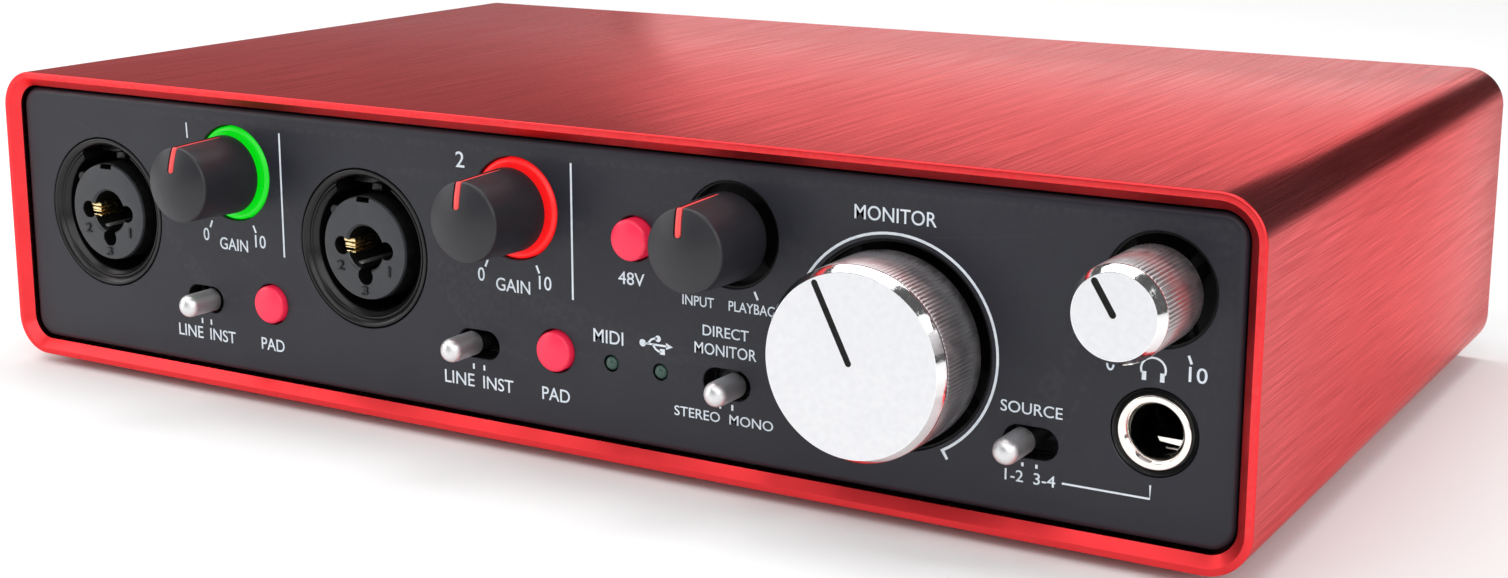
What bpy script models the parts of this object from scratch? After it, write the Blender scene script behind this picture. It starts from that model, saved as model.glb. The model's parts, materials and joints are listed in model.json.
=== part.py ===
"""Desktop audio interface: an extruded metal sleeve, two end panels and the controls between them.

The front of the sleeve faces -Y, its underside stands on four feet at Z = 0, and X = 0 is the middle.
Depths are counted backwards from the sleeve's front rim, and heights upwards from its underside.
"""
import math

import bmesh
import bpy
from mathutils import Vector

MM = 0.001
GAP = 0.3 * MM                      # clearance between pieces that touch
CUT_END = 20.0 * MM                 # where cutters that go right through the front pieces stop

# Sleeve
SLEEVE_WIDTH = 210.0 * MM
SLEEVE_HEIGHT = 46.9 * MM
SLEEVE_DEPTH = 125.2 * MM
SLEEVE_WALL = 2.3 * MM
SLEEVE_CORNER = 6.0 * MM
RIM_CHAMFER = 1.35 * MM
CORNER_STEPS = 6

# Feet, and the two ends of the whole object along Y
FOOT_HEIGHT = 1.6 * MM
FOOT_RADIUS = 6.5 * MM
FOOT_EDGE = 0.4 * MM
FOOT_X = 88.0 * MM
FOOT_DEPTHS = (14.0 * MM, 111.2 * MM)
FRONT_REACH = 12.9 * MM             # headphone knob in front of the rim
REAR_REACH = 6.2 * MM               # phono barrels behind the sleeve
FRONT_Y = FRONT_REACH - (FRONT_REACH + SLEEVE_DEPTH + REAR_REACH) / 2
BASE_Z = FOOT_HEIGHT

# Panels, carrier, tray and boards (depths from the front rim)
PANEL_FRONT = 1.6 * MM
PANEL_THICK = 2.0 * MM
PANEL_BACK = PANEL_FRONT + PANEL_THICK
PANEL_SOFT_EDGE = 0.7 * MM
INNER_HALF = SLEEVE_WIDTH / 2 - SLEEVE_WALL - GAP
INNER_LOW = SLEEVE_WALL + GAP
INNER_HIGH = SLEEVE_HEIGHT - SLEEVE_WALL - GAP
INNER_CORNER = SLEEVE_CORNER - SLEEVE_WALL - GAP
CARRIER_FRONT = PANEL_BACK + GAP
CARRIER_BACK = CARRIER_FRONT + 2.0 * MM
CARRIER_HALF = 100.0 * MM
CARRIER_LOW = 4.2 * MM
CARRIER_HIGH = 42.7 * MM
TRAY_FRONT = CARRIER_BACK + GAP
TRAY_BACK = 121.9 * MM
TRAY_THICK = 1.0 * MM
TRAY_WALL_HIGH = 30.0 * MM
STANDOFF_RADIUS = 2.6 * MM
STANDOFF_HIGH = 7.0 * MM
STANDOFF_X = (-90.0 * MM, 0.0, 90.0 * MM)
STANDOFF_DEPTHS = (26.0 * MM, 112.0 * MM)
TRAY_TAB = (4.0 * MM, 2.5 * MM, 5.0 * MM)                   # reach past the screw, thickness, half height
BOARD_THICK = 1.6 * MM
MAIN_BOARD_LOW = STANDOFF_HIGH + GAP
MAIN_BOARD_HIGH = MAIN_BOARD_LOW + BOARD_THICK
MAIN_BOARD_HALF = 98.0 * MM
MAIN_BOARD_FRONT = 18.5 * MM
MAIN_BOARD_BACK = 120.0 * MM
CHIP_SINK = 0.5 * MM
CHIPS = (                           # x, depth, width, length and height of each chip on the main board
    (20.0 * MM, 62.0 * MM, 14.0 * MM, 14.0 * MM, 1.4 * MM),
    (-22.0 * MM, 58.0 * MM, 10.0 * MM, 10.0 * MM, 1.2 * MM),
    (-60.0 * MM, 50.0 * MM, 8.0 * MM, 6.0 * MM, 1.5 * MM),
    (-60.0 * MM, 70.0 * MM, 8.0 * MM, 6.0 * MM, 1.5 * MM),
    (62.0 * MM, 60.0 * MM, 9.0 * MM, 9.0 * MM, 1.2 * MM),
    (2.0 * MM, 86.0 * MM, 24.0 * MM, 6.0 * MM, 2.4 * MM),
)
CONTROL_BOARD_FRONT = 14.6 * MM
CONTROL_BOARD_BACK = CONTROL_BOARD_FRONT + BOARD_THICK
CONTROL_BOARD_LOW = 10.0 * MM
CONTROL_BOARD_HIGH = 43.0 * MM
REAR_PANEL_FRONT = 122.2 * MM
REAR_PANEL_BACK = SLEEVE_DEPTH - PANEL_FRONT

# Combination inputs, (x, height)
COMBO_CENTRES = ((-84.6 * MM, 25.1 * MM), (-31.3 * MM, 25.1 * MM))
COMBO_RING = 11.85 * MM
COMBO_WELL = 9.7 * MM
COMBO_INSERT = 7.85 * MM
COMBO_JACK_BORE = 3.4 * MM
COMBO_WELL_BACK = 17.0 * MM
COMBO_BACK = 30.0 * MM
COMBO_PIN_HOLE = 1.35 * MM
COMBO_PIN_OFFSET = 4.25 * MM
COMBO_PIN_END = 13.0 * MM
COMBO_LEAD_IN = (1.0 * MM, 1.2 * MM)                        # width and depth of the ring's sloping mouth
COMBO_INSERT_EDGE = 0.3 * MM
LATCH_WINDOW = (11.3 * MM, 8.2 * MM, 11.0 * MM, 5.0 * MM)   # width, low radius, high radius, depth
INSERT_NOTCH = (2.4 * MM, 1.0 * MM, 6.0 * MM)               # width, radial depth, length

# Knobs: name, x, height, base radius, face radius, face depth, base depth, recess radius, rubber or not
KNOBS = (
    ("gain_knob_1", -56.75 * MM, 34.1 * MM, 6.1 * MM, 5.75 * MM, -11.4 * MM, 0.8 * MM, 7.4 * MM, True),
    ("gain_knob_2", -3.3 * MM, 34.1 * MM, 6.1 * MM, 5.75 * MM, -11.4 * MM, 0.8 * MM, 7.4 * MM, True),
    ("mix_knob", 32.35 * MM, 34.15 * MM, 6.1 * MM, 5.75 * MM, -11.4 * MM, 0.8 * MM, 7.4 * MM, True),
    ("monitor_knob", 56.45 * MM, 22.3 * MM, 12.8 * MM, 12.7 * MM, -10.1 * MM, 1.3 * MM, 13.9 * MM, False),
    ("headphone_knob", 91.8 * MM, 34.0 * MM, 6.1 * MM, 6.0 * MM, -FRONT_REACH, 0.2 * MM, 7.4 * MM, False),
)
LARGE_KNOB = 10.0 * MM              # knobs with a larger radius get more sides
KNOB_EDGE = 0.5 * MM
KNOB_CROWN = 1.2 * MM               # rise of a rubber knob's domed face
KNOB_BEVEL = (0.8 * MM, 1.4 * MM)   # radial width and depth of a silver knob's bevel
SHAFT_RADIUS = 2.7 * MM
SHAFT_BACK = 12.0 * MM
SHAFT_INTO_KNOB = 5.7 * MM          # in front of the rim
POT_HALF = 5.0 * MM
POT_FRONT = 7.4 * MM
POT_BUSHING_FRONT = 4.6 * MM
POT_BUSHING_RADIUS = 3.9 * MM
POT_BACK = CONTROL_BOARD_FRONT - GAP
POINTER_HALF = 0.45 * MM
POINTER_DEEP = 0.7 * MM
POINTER_START = 2.0 * MM
POINTER_END = -1.0 * MM

# Light rings round the two gain knobs
HALO_OUTER = 7.0 * MM
HALO_INNER = 3.6 * MM
HALO_FRONT = 1.6 * MM

# Slide levers: name, slot centre x, height, side on which the lever rests (+1 right, -1 left)
LEVERS = (
    ("line_lever_1", -63.8 * MM, 13.4 * MM, 1),
    ("line_lever_2", -10.2 * MM, 13.4 * MM, -1),
    ("stereo_lever", 31.6 * MM, 13.5 * MM, 1),
    ("source_lever", 75.8 * MM, 12.5 * MM, -1),
)
LEVER_SLOT = (7.4 * MM, 4.2 * MM)
LEVER_RADIUS = 1.75 * MM
LEVER_OFFSET = 1.2 * MM
LEVER_TIP = -4.5 * MM
LEVER_END = 10.0 * MM
LEVER_SWITCH = (11.0 * MM, 6.0 * MM)
LEVER_SWITCH_FRONT = 6.5 * MM
LEVER_SWITCH_POCKET = 10.4 * MM

# Push buttons: name, x, height, depth of the cap's top
BUTTONS = (
    ("pad_button_1", -49.9 * MM, 14.3 * MM, 0.3 * MM),
    ("pad_button_2", 3.5 * MM, 14.3 * MM, 0.3 * MM),
    ("phantom_button", 17.0 * MM, 32.0 * MM, -0.5 * MM),
)
BUTTON_RADIUS = 2.9 * MM
BUTTON_DOME = 1.1 * MM
BUTTON_FLANGE_RADIUS = 3.9 * MM
BUTTON_FLANGE = (6.2 * MM, 7.0 * MM)
BUTTON_SWITCH_FRONT = 8.9 * MM
BUTTON_SWITCH_HALF = 3.1 * MM

# Indicator light pipes: name, x, height
LIGHTS = (
    ("midi_light_pipe", 12.9 * MM, 13.8 * MM),
    ("usb_light_pipe", 21.0 * MM, 13.7 * MM),
)
LIGHT_RADIUS = 1.0 * MM
LIGHT_TOP = 1.3 * MM
LIGHT_EDGE = 0.3 * MM

# Headphone socket
HEADPHONE_CENTRE = (91.8 * MM, 16.3 * MM)
HEADPHONE_RING = 4.55 * MM
HEADPHONE_NOSE = 5.25 * MM
HEADPHONE_FRONT = 1.2 * MM
NOSE_BACK = 8.0 * MM
SOCKET_WALL = 1.5 * MM              # closed end of a jack socket's bore
JACK_BORE = 3.4 * MM
HEADPHONE_BODY_HALF = 5.8 * MM
HEADPHONE_BACK = 29.0 * MM

# Rear sockets
USB_X = 76.0 * MM
USB_SIZE = (12.0 * MM, 11.0 * MM)
USB_MOUTH = (8.6 * MM, 7.9 * MM)
USB_TONGUE = (5.4 * MM, 3.0 * MM)
USB_FRONT = 108.0 * MM
USB_BACK = 124.6 * MM
USB_MOUTH_DEEP = 12.6 * MM
USB_TONGUE_BACK = 4.8 * MM          # from the shell's end
MIDI_SOCKETS = (("midi_out_socket", 50.0 * MM), ("midi_in_socket", 24.0 * MM))
MIDI_HEIGHT = 20.5 * MM
MIDI_BODY = (20.5 * MM, 107.0 * MM)
MIDI_FACE = 7.6 * MM
MIDI_TOP = 30.1 * MM
MIDI_INSET = 0.2 * MM               # from the rear panel's outer face down to the socket's
MIDI_GROOVE = (6.3 * MM, 7.0 * MM, 5.0 * MM)
MIDI_PIN = 0.9 * MM
MIDI_PIN_CIRCLE = 3.75 * MM
PHONO_X = -10.0 * MM
PHONO_HEIGHT = 24.0 * MM
PHONO_PITCH = 15.0 * MM
PHONO_BARREL = 4.15 * MM
PHONO_COLLAR = 4.7 * MM
PHONO_BORE = 1.7 * MM
PHONO_BORE_DEEP = 9.0 * MM
PHONO_STEP = 0.6 * MM               # collar behind the panel
PHONO_BODY_HALF = 14.5 * MM
PHONO_BODY_FRONT = 110.0 * MM
LINE_SOCKETS = (("line_out_right", -48.0 * MM), ("line_out_left", -76.0 * MM))
LINE_HEIGHT = 20.0 * MM
LINE_NOSE = 5.2 * MM
LINE_NUT = 7.6 * MM
LINE_NUT_THICK = 1.8 * MM
LINE_BODY_HALF = 8.0 * MM
LINE_BODY_FRONT = 97.0 * MM
LINE_NOSE_BACK = 126.6 * MM
LOCK_SLOT = (91.0 * MM, 12.0 * MM, 7.0 * MM, 3.0 * MM)      # x, height, width, height of the slot
SCREW_X = 97.5 * MM
SCREW_HEIGHT = SLEEVE_HEIGHT / 2
SCREW_HEAD = 2.9 * MM
SCREW_DOME = (0.8 * MM, 0.9 * MM, 1.6 * MM)                 # slope's width, side depth and whole depth
SCREW_SHANK = 1.45 * MM
SCREW_END = 116.0 * MM

ROUND = 20                          # sides of a small turned piece
FINE = 28                           # sides of a large turned piece
MERGE = 1e-5

for old in list(bpy.data.objects):
    bpy.data.objects.remove(old, do_unlink=True)

part_collection = bpy.data.collections.new("audio_interface")
cutter_collection = bpy.data.collections.new("cutters")
for collection in (part_collection, cutter_collection):
    bpy.context.scene.collection.children.link(collection)


def world(x, depth, height):
    """A point from its place across, behind the front rim and above the sleeve's underside."""
    return Vector((x, FRONT_Y + depth, BASE_Z + height))


def material(name, colour, roughness, metallic=0.0):
    made = bpy.data.materials.new(name)
    made.use_nodes = True
    shader = made.node_tree.nodes["Principled BSDF"]
    shader.inputs["Base Color"].default_value = (*colour, 1.0)
    shader.inputs["Roughness"].default_value = roughness
    shader.inputs["Metallic"].default_value = metallic
    return made


RED_ALUMINIUM = material("red_aluminium", (0.62, 0.04, 0.05), 0.35, 0.9)
PANEL_GREY = material("panel_grey", (0.05, 0.052, 0.056), 0.5)
BLACK_STEEL = material("black_steel", (0.02, 0.02, 0.022), 0.45, 0.3)
ZINC_STEEL = material("zinc_steel", (0.55, 0.56, 0.57), 0.4, 1.0)
BOARD_GREEN = material("board_green", (0.02, 0.14, 0.06), 0.5)
BLACK_PLASTIC = material("black_plastic", (0.015, 0.015, 0.017), 0.35)
DARK_PLASTIC = material("dark_plastic", (0.05, 0.052, 0.055), 0.45)
SOFT_RUBBER = material("soft_rubber", (0.055, 0.058, 0.062), 0.7)
FOOT_RUBBER = material("foot_rubber", (0.02, 0.02, 0.02), 0.85)
SILVER = material("silver_aluminium", (0.85, 0.85, 0.86), 0.25, 1.0)
BRIGHT_STEEL = material("bright_steel", (0.72, 0.72, 0.72), 0.3, 1.0)
BUTTON_RED = material("button_red", (0.85, 0.06, 0.12), 0.4)
HALO_GREEN = material("halo_green", (0.0, 0.75, 0.03), 0.4)
HALO_RED = material("halo_red", (0.85, 0.03, 0.03), 0.4)
CLEAR_GREEN = material("light_pipe", (0.08, 0.16, 0.12), 0.2)


def add_object(name, mesh, finish=None):
    made = bpy.data.objects.new(name, mesh)
    if finish is None:
        cutter_collection.objects.link(made)
        made.hide_render = True
        made.display_type = "WIRE"
    else:
        part_collection.objects.link(made)
        mesh.materials.append(finish)
    return made


def round_shading(obj):
    obj.data.shade_smooth()
    obj.data.set_sharp_from_angle(angle=math.radians(35))


def box(name, low, high, finish=None):
    """A box between two corners, each given as across, depth and height."""
    shape = bmesh.new()
    bmesh.ops.create_cube(shape, size=1.0)
    low_point = world(*low)
    high_point = world(*high)
    size = high_point - low_point
    bmesh.ops.scale(shape, vec=size, verts=shape.verts)
    bmesh.ops.translate(shape, vec=size / 2, verts=shape.verts)
    mesh = bpy.data.meshes.new(name)
    shape.to_mesh(mesh)
    shape.free()
    made = add_object(name, mesh, finish)
    made.location = low_point
    return made


def slab(name, half_width, low, high, front, back, corner, finish=None, soft_edge=0.0):
    """A plate across the sleeve, with its four corners rounded and, if asked, a softened front edge."""
    shape = bmesh.new()
    bmesh.ops.create_cube(shape, size=1.0)
    bmesh.ops.scale(shape, vec=(2 * half_width, back - front, high - low), verts=shape.verts)
    along = [edge for edge in shape.edges if abs(edge.verts[0].co.y - edge.verts[1].co.y) > MM / 10]
    bmesh.ops.bevel(shape, geom=along, offset=corner, segments=CORNER_STEPS, affect="EDGES", profile=0.5)
    if soft_edge:
        face_y = min(vert.co.y for vert in shape.verts)
        rim = [edge for edge in shape.edges if all(abs(vert.co.y - face_y) < MERGE for vert in edge.verts)]
        bmesh.ops.bevel(shape, geom=rim, offset=soft_edge, segments=2, affect="EDGES", profile=0.5)
    mesh = bpy.data.meshes.new(name)
    shape.to_mesh(mesh)
    shape.free()
    made = add_object(name, mesh, finish)
    made.location = world(0.0, (front + back) / 2, (low + high) / 2)
    return made


def turned(name, x, height, outline, finish=None, sides=ROUND):
    """A turned piece whose axis runs front to back; the outline is (radius, depth), front to back outside."""
    on_axis = outline[0][0] == 0.0
    points = [(radius, 0.0, -depth) for radius, depth in outline]
    edges = [(index, index + 1) for index in range(len(points) - 1)]
    if not on_axis:
        edges.append((len(points) - 1, 0))
    mesh = bpy.data.meshes.new(name)
    mesh.from_pydata(points, edges, [])
    made = add_object(name, mesh, finish)
    screw = made.modifiers.new("turn", "SCREW")
    screw.steps = sides
    screw.render_steps = sides
    screw.use_merge_vertices = True
    screw.merge_threshold = MERGE
    made.location = world(x, 0.0, height)
    made.rotation_euler = (math.radians(90), 0.0, 0.0)
    settle(made)
    return made


def rod(name, x, height, radius, front, back, finish=None, sides=ROUND):
    outline = ((0.0, front), (radius, front), (radius, back), (0.0, back))
    return turned(name, x, height, outline, finish, sides)


def settle(obj):
    """Replace the mesh with what its modifiers make of it, so that later cuts start from a closed solid."""
    bpy.context.view_layer.update()
    graph = bpy.context.evaluated_depsgraph_get()
    mesh = bpy.data.meshes.new_from_object(obj.evaluated_get(graph))
    obj.modifiers.clear()
    obj.data = mesh
    round_shading(obj)


def combine(obj, others, operation):
    for other in others:
        boolean = obj.modifiers.new(other.name, "BOOLEAN")
        boolean.operation = operation
        boolean.solver = "EXACT"
        boolean.object = other
    settle(obj)


def cut(obj, *cutters):
    combine(obj, cutters, "DIFFERENCE")


def join(obj, *others):
    combine(obj, others, "UNION")


def ride_on(name, x, depth, height, pieces):
    """Parent moving pieces to an empty on their joint's axis."""
    axis = bpy.data.objects.new(name, None)
    axis.empty_display_size = 5 * MM
    axis.location = world(x, depth, height)
    part_collection.objects.link(axis)
    bpy.context.view_layer.update()
    for piece in pieces:
        piece.parent = axis
        piece.matrix_parent_inverse = axis.matrix_world.inverted()


def pocket(name, x, height, width, tall, front, back):
    """A cutter with round ends, as a milled slot leaves it."""
    end = tall / 2
    shape = box(name, (x - width / 2 + end, front, height - end), (x + width / 2 - end, back, height + end))
    ends = [rod(f"{name}_end_{side}", x + side * (width / 2 - end), height, end, front, back, sides=12)
            for side in (-1, 1)]
    join(shape, *ends)
    return shape


def make_sleeve():
    sleeve = slab("case_sleeve", SLEEVE_WIDTH / 2, 0.0, SLEEVE_HEIGHT, 0.0, SLEEVE_DEPTH, SLEEVE_CORNER,
                  RED_ALUMINIUM)
    hollow = slab("sleeve_hollow", SLEEVE_WIDTH / 2 - SLEEVE_WALL, SLEEVE_WALL, SLEEVE_HEIGHT - SLEEVE_WALL,
                  -MM, SLEEVE_DEPTH + MM, SLEEVE_CORNER - SLEEVE_WALL)
    cut(sleeve, hollow)
    shape = bmesh.new()
    shape.from_mesh(sleeve.data)
    half_depth = SLEEVE_DEPTH / 2
    mouth = []
    for edge in shape.edges:
        if all(abs(abs(vert.co.y) - half_depth) < MERGE and on_inner_wall(vert.co) for vert in edge.verts):
            mouth.append(edge)
    bmesh.ops.bevel(shape, geom=mouth, offset=RIM_CHAMFER, segments=1, affect="EDGES", profile=0.5)
    shape.to_mesh(sleeve.data)
    shape.free()
    round_shading(sleeve)


def on_inner_wall(point):
    """True for a point of the sleeve's inner outline, seen along its depth."""
    reach_x = abs(point.x) - (SLEEVE_WIDTH / 2 - SLEEVE_CORNER)
    reach_z = abs(point.z) - (SLEEVE_HEIGHT / 2 - SLEEVE_CORNER)
    if reach_x > 0 and reach_z > 0:
        from_outside = SLEEVE_CORNER - math.hypot(reach_x, reach_z)
    else:
        from_outside = SLEEVE_CORNER - max(reach_x, reach_z)
    return abs(from_outside - SLEEVE_WALL) < MM / 5


def through(name, x, height, radius, front=0.0, back=CUT_END, sides=ROUND):
    return rod(name, x, height, radius, front, back, sides=sides)


def make_front_panel():
    panel = slab("front_panel", INNER_HALF, INNER_LOW, INNER_HIGH, PANEL_FRONT, PANEL_BACK, INNER_CORNER,
                 PANEL_GREY, PANEL_SOFT_EDGE)
    cutters = []
    for number, (x, height) in enumerate(COMBO_CENTRES, 1):
        cutters.append(through(f"panel_combo_{number}", x, height, COMBO_RING + GAP, sides=FINE))
    for name, x, height, *_, recess, _ in KNOBS:
        cutters.append(through(f"panel_{name}", x, height, recess))
    for name, x, height, _ in LEVERS:
        cutters.append(pocket(f"panel_{name}", x, height, *LEVER_SLOT, 0.0, CUT_END))
    for name, x, height, _ in BUTTONS:
        cutters.append(through(f"panel_{name}", x, height, BUTTON_RADIUS + GAP, sides=16))
    for name, x, height in LIGHTS:
        cutters.append(through(f"panel_{name}", x, height, LIGHT_RADIUS + GAP, sides=12))
    cutters.append(through("panel_headphone", *HEADPHONE_CENTRE, HEADPHONE_NOSE + GAP))
    cut(panel, *cutters)


def make_carrier():
    carrier = box("panel_carrier", (-CARRIER_HALF, CARRIER_FRONT, CARRIER_LOW),
                  (CARRIER_HALF, CARRIER_BACK, CARRIER_HIGH), BLACK_PLASTIC)
    cutters = []
    for number, (x, height) in enumerate(COMBO_CENTRES, 1):
        cutters.append(through(f"carrier_combo_{number}", x, height, COMBO_RING + GAP, sides=FINE))
    for name, x, height, *_ in KNOBS:
        cutters.append(through(f"carrier_{name}", x, height, POT_BUSHING_RADIUS + GAP, sides=16))
    for name, x, height, _ in LEVERS:
        cutters.append(pocket(f"carrier_{name}", x, height, *LEVER_SLOT, 0.0, CUT_END))
    for name, x, height, _ in BUTTONS:
        cutters.append(through(f"carrier_{name}", x, height, BUTTON_RADIUS + GAP, sides=16))
    for name, x, height in LIGHTS:
        cutters.append(through(f"carrier_{name}", x, height, LIGHT_RADIUS + GAP, sides=12))
    cutters.append(through("carrier_headphone", *HEADPHONE_CENTRE, HEADPHONE_NOSE + GAP))
    cut(carrier, *cutters)


def make_control_board():
    board = box("control_board", (-CARRIER_HALF, CONTROL_BOARD_FRONT, CONTROL_BOARD_LOW),
                (CARRIER_HALF, CONTROL_BOARD_BACK, CONTROL_BOARD_HIGH), BOARD_GREEN)
    cutters = [through(f"board_combo_{number}", x, height, COMBO_RING + GAP)
               for number, (x, height) in enumerate(COMBO_CENTRES, 1)]
    x, height = HEADPHONE_CENTRE
    reach = HEADPHONE_BODY_HALF + GAP
    cutters.append(box("board_headphone", (x - reach, 0.0, height - reach),
                       (x + reach, CUT_END, height + reach)))
    cut(board, *cutters)


def make_main_board():
    board = box("main_board", (-MAIN_BOARD_HALF, MAIN_BOARD_FRONT, MAIN_BOARD_LOW),
                (MAIN_BOARD_HALF, MAIN_BOARD_BACK, MAIN_BOARD_HIGH), BOARD_GREEN)
    parts = []
    for number, (x, depth, wide, long, tall) in enumerate(CHIPS):
        parts.append(box(f"chip_{number}", (x - wide / 2, depth - long / 2, MAIN_BOARD_HIGH - CHIP_SINK),
                         (x + wide / 2, depth + long / 2, MAIN_BOARD_HIGH + tall)))
    join(board, *parts)


def make_tray():
    tray = slab("chassis_tray", INNER_HALF, INNER_LOW, SLEEVE_HEIGHT, TRAY_FRONT, TRAY_BACK, INNER_CORNER,
                ZINC_STEEL)
    hollow = slab("tray_hollow", INNER_HALF - TRAY_THICK, INNER_LOW + TRAY_THICK, 2 * SLEEVE_HEIGHT, 0.0,
                  SLEEVE_DEPTH, INNER_CORNER - TRAY_THICK)
    top = box("tray_top", (-SLEEVE_WIDTH, 0.0, TRAY_WALL_HIGH),
              (SLEEVE_WIDTH, SLEEVE_DEPTH, 2 * SLEEVE_HEIGHT))
    cut(tray, hollow, top)
    added = [standoff(x, depth) for x in STANDOFF_X for depth in STANDOFF_DEPTHS]
    reach, thick, half = TRAY_TAB
    for side in (-1, 1):
        edge_in = side * (SCREW_X - reach)
        edge_out = side * (INNER_HALF - TRAY_THICK / 2)
        added.append(box(f"tray_tab_{side}",
                         (min(edge_in, edge_out), TRAY_BACK - thick, SCREW_HEIGHT - half),
                         (max(edge_in, edge_out), TRAY_BACK, SCREW_HEIGHT + half)))
    join(tray, *added)
    cut(tray, *[through(f"tray_screw_{side}", side * SCREW_X, SCREW_HEIGHT, SCREW_SHANK + GAP,
                        SCREW_END - MM, SLEEVE_DEPTH, 16) for side in (-1, 1)])


def standoff(x, depth):
    """A pillar under the main board."""
    bpy.ops.mesh.primitive_cylinder_add(vertices=16, radius=STANDOFF_RADIUS,
                                        depth=STANDOFF_HIGH - INNER_LOW - TRAY_THICK / 2)
    made = bpy.context.object
    made.name = f"standoff_{x / MM:.0f}_{depth / MM:.0f}"
    for holder in list(made.users_collection):
        holder.objects.unlink(made)
    cutter_collection.objects.link(made)
    made.hide_render = True
    made.display_type = "WIRE"
    made.location = world(x, depth, (STANDOFF_HIGH + INNER_LOW + TRAY_THICK / 2) / 2)
    return made


def make_feet():
    for end, depth in zip(("front", "rear"), FOOT_DEPTHS):
        for side, x in (("left", -FOOT_X), ("right", FOOT_X)):
            outline = ((0.0, GAP), (FOOT_RADIUS, GAP), (FOOT_RADIUS, FOOT_HEIGHT - FOOT_EDGE),
                       (FOOT_RADIUS - FOOT_EDGE, FOOT_HEIGHT), (0.0, FOOT_HEIGHT))
            foot = turned(f"foot_{end}_{side}", 0.0, 0.0, outline, FOOT_RUBBER)
            foot.rotation_euler = (0.0, 0.0, 0.0)
            foot.location = world(x, depth, 0.0)


def make_combo(number, x, height):
    ring = turned(f"combo_jack_{number}", x, height, (
        (COMBO_RING, PANEL_FRONT), (COMBO_RING, COMBO_BACK), (COMBO_JACK_BORE + GAP, COMBO_BACK),
        (COMBO_JACK_BORE + GAP, COMBO_WELL_BACK), (COMBO_WELL, COMBO_WELL_BACK),
        (COMBO_WELL, PANEL_FRONT + COMBO_LEAD_IN[1]), (COMBO_RING - COMBO_LEAD_IN[0], PANEL_FRONT)),
                  BLACK_PLASTIC, FINE)
    width, low, high, deep = LATCH_WINDOW
    cut(ring, box(f"latch_{number}", (x - width / 2, 0.0, height + low),
                  (x + width / 2, deep, height + high)))
    front = PANEL_FRONT + GAP
    insert = turned(f"combo_insert_{number}", x, height, (
        (COMBO_INSERT - COMBO_INSERT_EDGE, front), (COMBO_INSERT, front + COMBO_INSERT_EDGE),
        (COMBO_INSERT, COMBO_WELL_BACK - GAP), (COMBO_JACK_BORE, COMBO_WELL_BACK - GAP),
        (COMBO_JACK_BORE, front)), DARK_PLASTIC, FINE)
    pins = ((-COMBO_PIN_OFFSET, 0.0), (COMBO_PIN_OFFSET, 0.0), (0.0, -COMBO_PIN_OFFSET))
    holes = [through(f"pin_{number}_{index}", x + across, height + up, COMBO_PIN_HOLE, 0.0, COMBO_PIN_END, 12)
             for index, (across, up) in enumerate(pins)]
    width, deep, long = INSERT_NOTCH
    holes.append(box(f"notch_{number}", (x - width / 2, 0.0, height + COMBO_INSERT - deep),
                     (x + width / 2, long, height + COMBO_INSERT + MM)))
    cut(insert, *holes)


def make_knob(name, x, height, base, face, face_depth, base_depth, is_rubber):
    sides = FINE if base > LARGE_KNOB else ROUND
    bore = SHAFT_RADIUS + GAP
    if is_rubber:
        finish = SOFT_RUBBER
        shoulder = face - KNOB_EDGE
        front = [(0.0, face_depth), (shoulder / 2, face_depth + KNOB_CROWN / 4),
                 (shoulder, face_depth + KNOB_CROWN), (face, face_depth + KNOB_CROWN + KNOB_EDGE)]
    else:
        finish = SILVER
        front = [(0.0, face_depth), (face - KNOB_BEVEL[0], face_depth), (face, face_depth + KNOB_BEVEL[1])]
    knob = turned(name, x, height, (
        *front, (base, base_depth - KNOB_EDGE), (base - KNOB_EDGE, base_depth), (bore, base_depth),
        (bore, -SHAFT_INTO_KNOB - GAP), (0.0, -SHAFT_INTO_KNOB - GAP)), finish, sides)
    stem = name.replace("_knob", "")
    shaft = rod(f"{stem}_shaft", x, height, SHAFT_RADIUS, -SHAFT_INTO_KNOB, SHAFT_BACK, BRIGHT_STEEL, 20)
    pieces = [knob, shaft]
    if is_rubber:
        pieces.append(make_pointer(knob, stem, x, height, face, face_depth))
    ride_on(f"{stem}_axis", x, face_depth, height, pieces)
    body = box(f"{stem}_pot", (x - POT_HALF, POT_FRONT, height - POT_HALF),
               (x + POT_HALF, POT_BACK, height + POT_HALF), ZINC_STEEL)
    join(body, rod(f"{stem}_bushing", x, height, POT_BUSHING_RADIUS, POT_BUSHING_FRONT, POT_FRONT + MM))
    cut(body, rod(f"{stem}_bore", x, height, bore, 0.0, SHAFT_BACK + GAP, sides=20))


def strip(name, x, half_width, outline, finish=None):
    """A strip of constant width across; the outline is (height, depth) round its side."""
    shape = bmesh.new()
    left, right = [[shape.verts.new(world(x + side * half_width, depth, height)) for height, depth in outline]
                   for side in (-1, 1)]
    shape.faces.new(left)
    shape.faces.new(reversed(right))
    for index in range(len(outline)):
        after = (index + 1) % len(outline)
        shape.faces.new((left[index], right[index], right[after], left[after]))
    bmesh.ops.recalc_face_normals(shape, faces=shape.faces)
    mesh = bpy.data.meshes.new(name)
    shape.to_mesh(mesh)
    shape.free()
    return add_object(name, mesh, finish)


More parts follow.
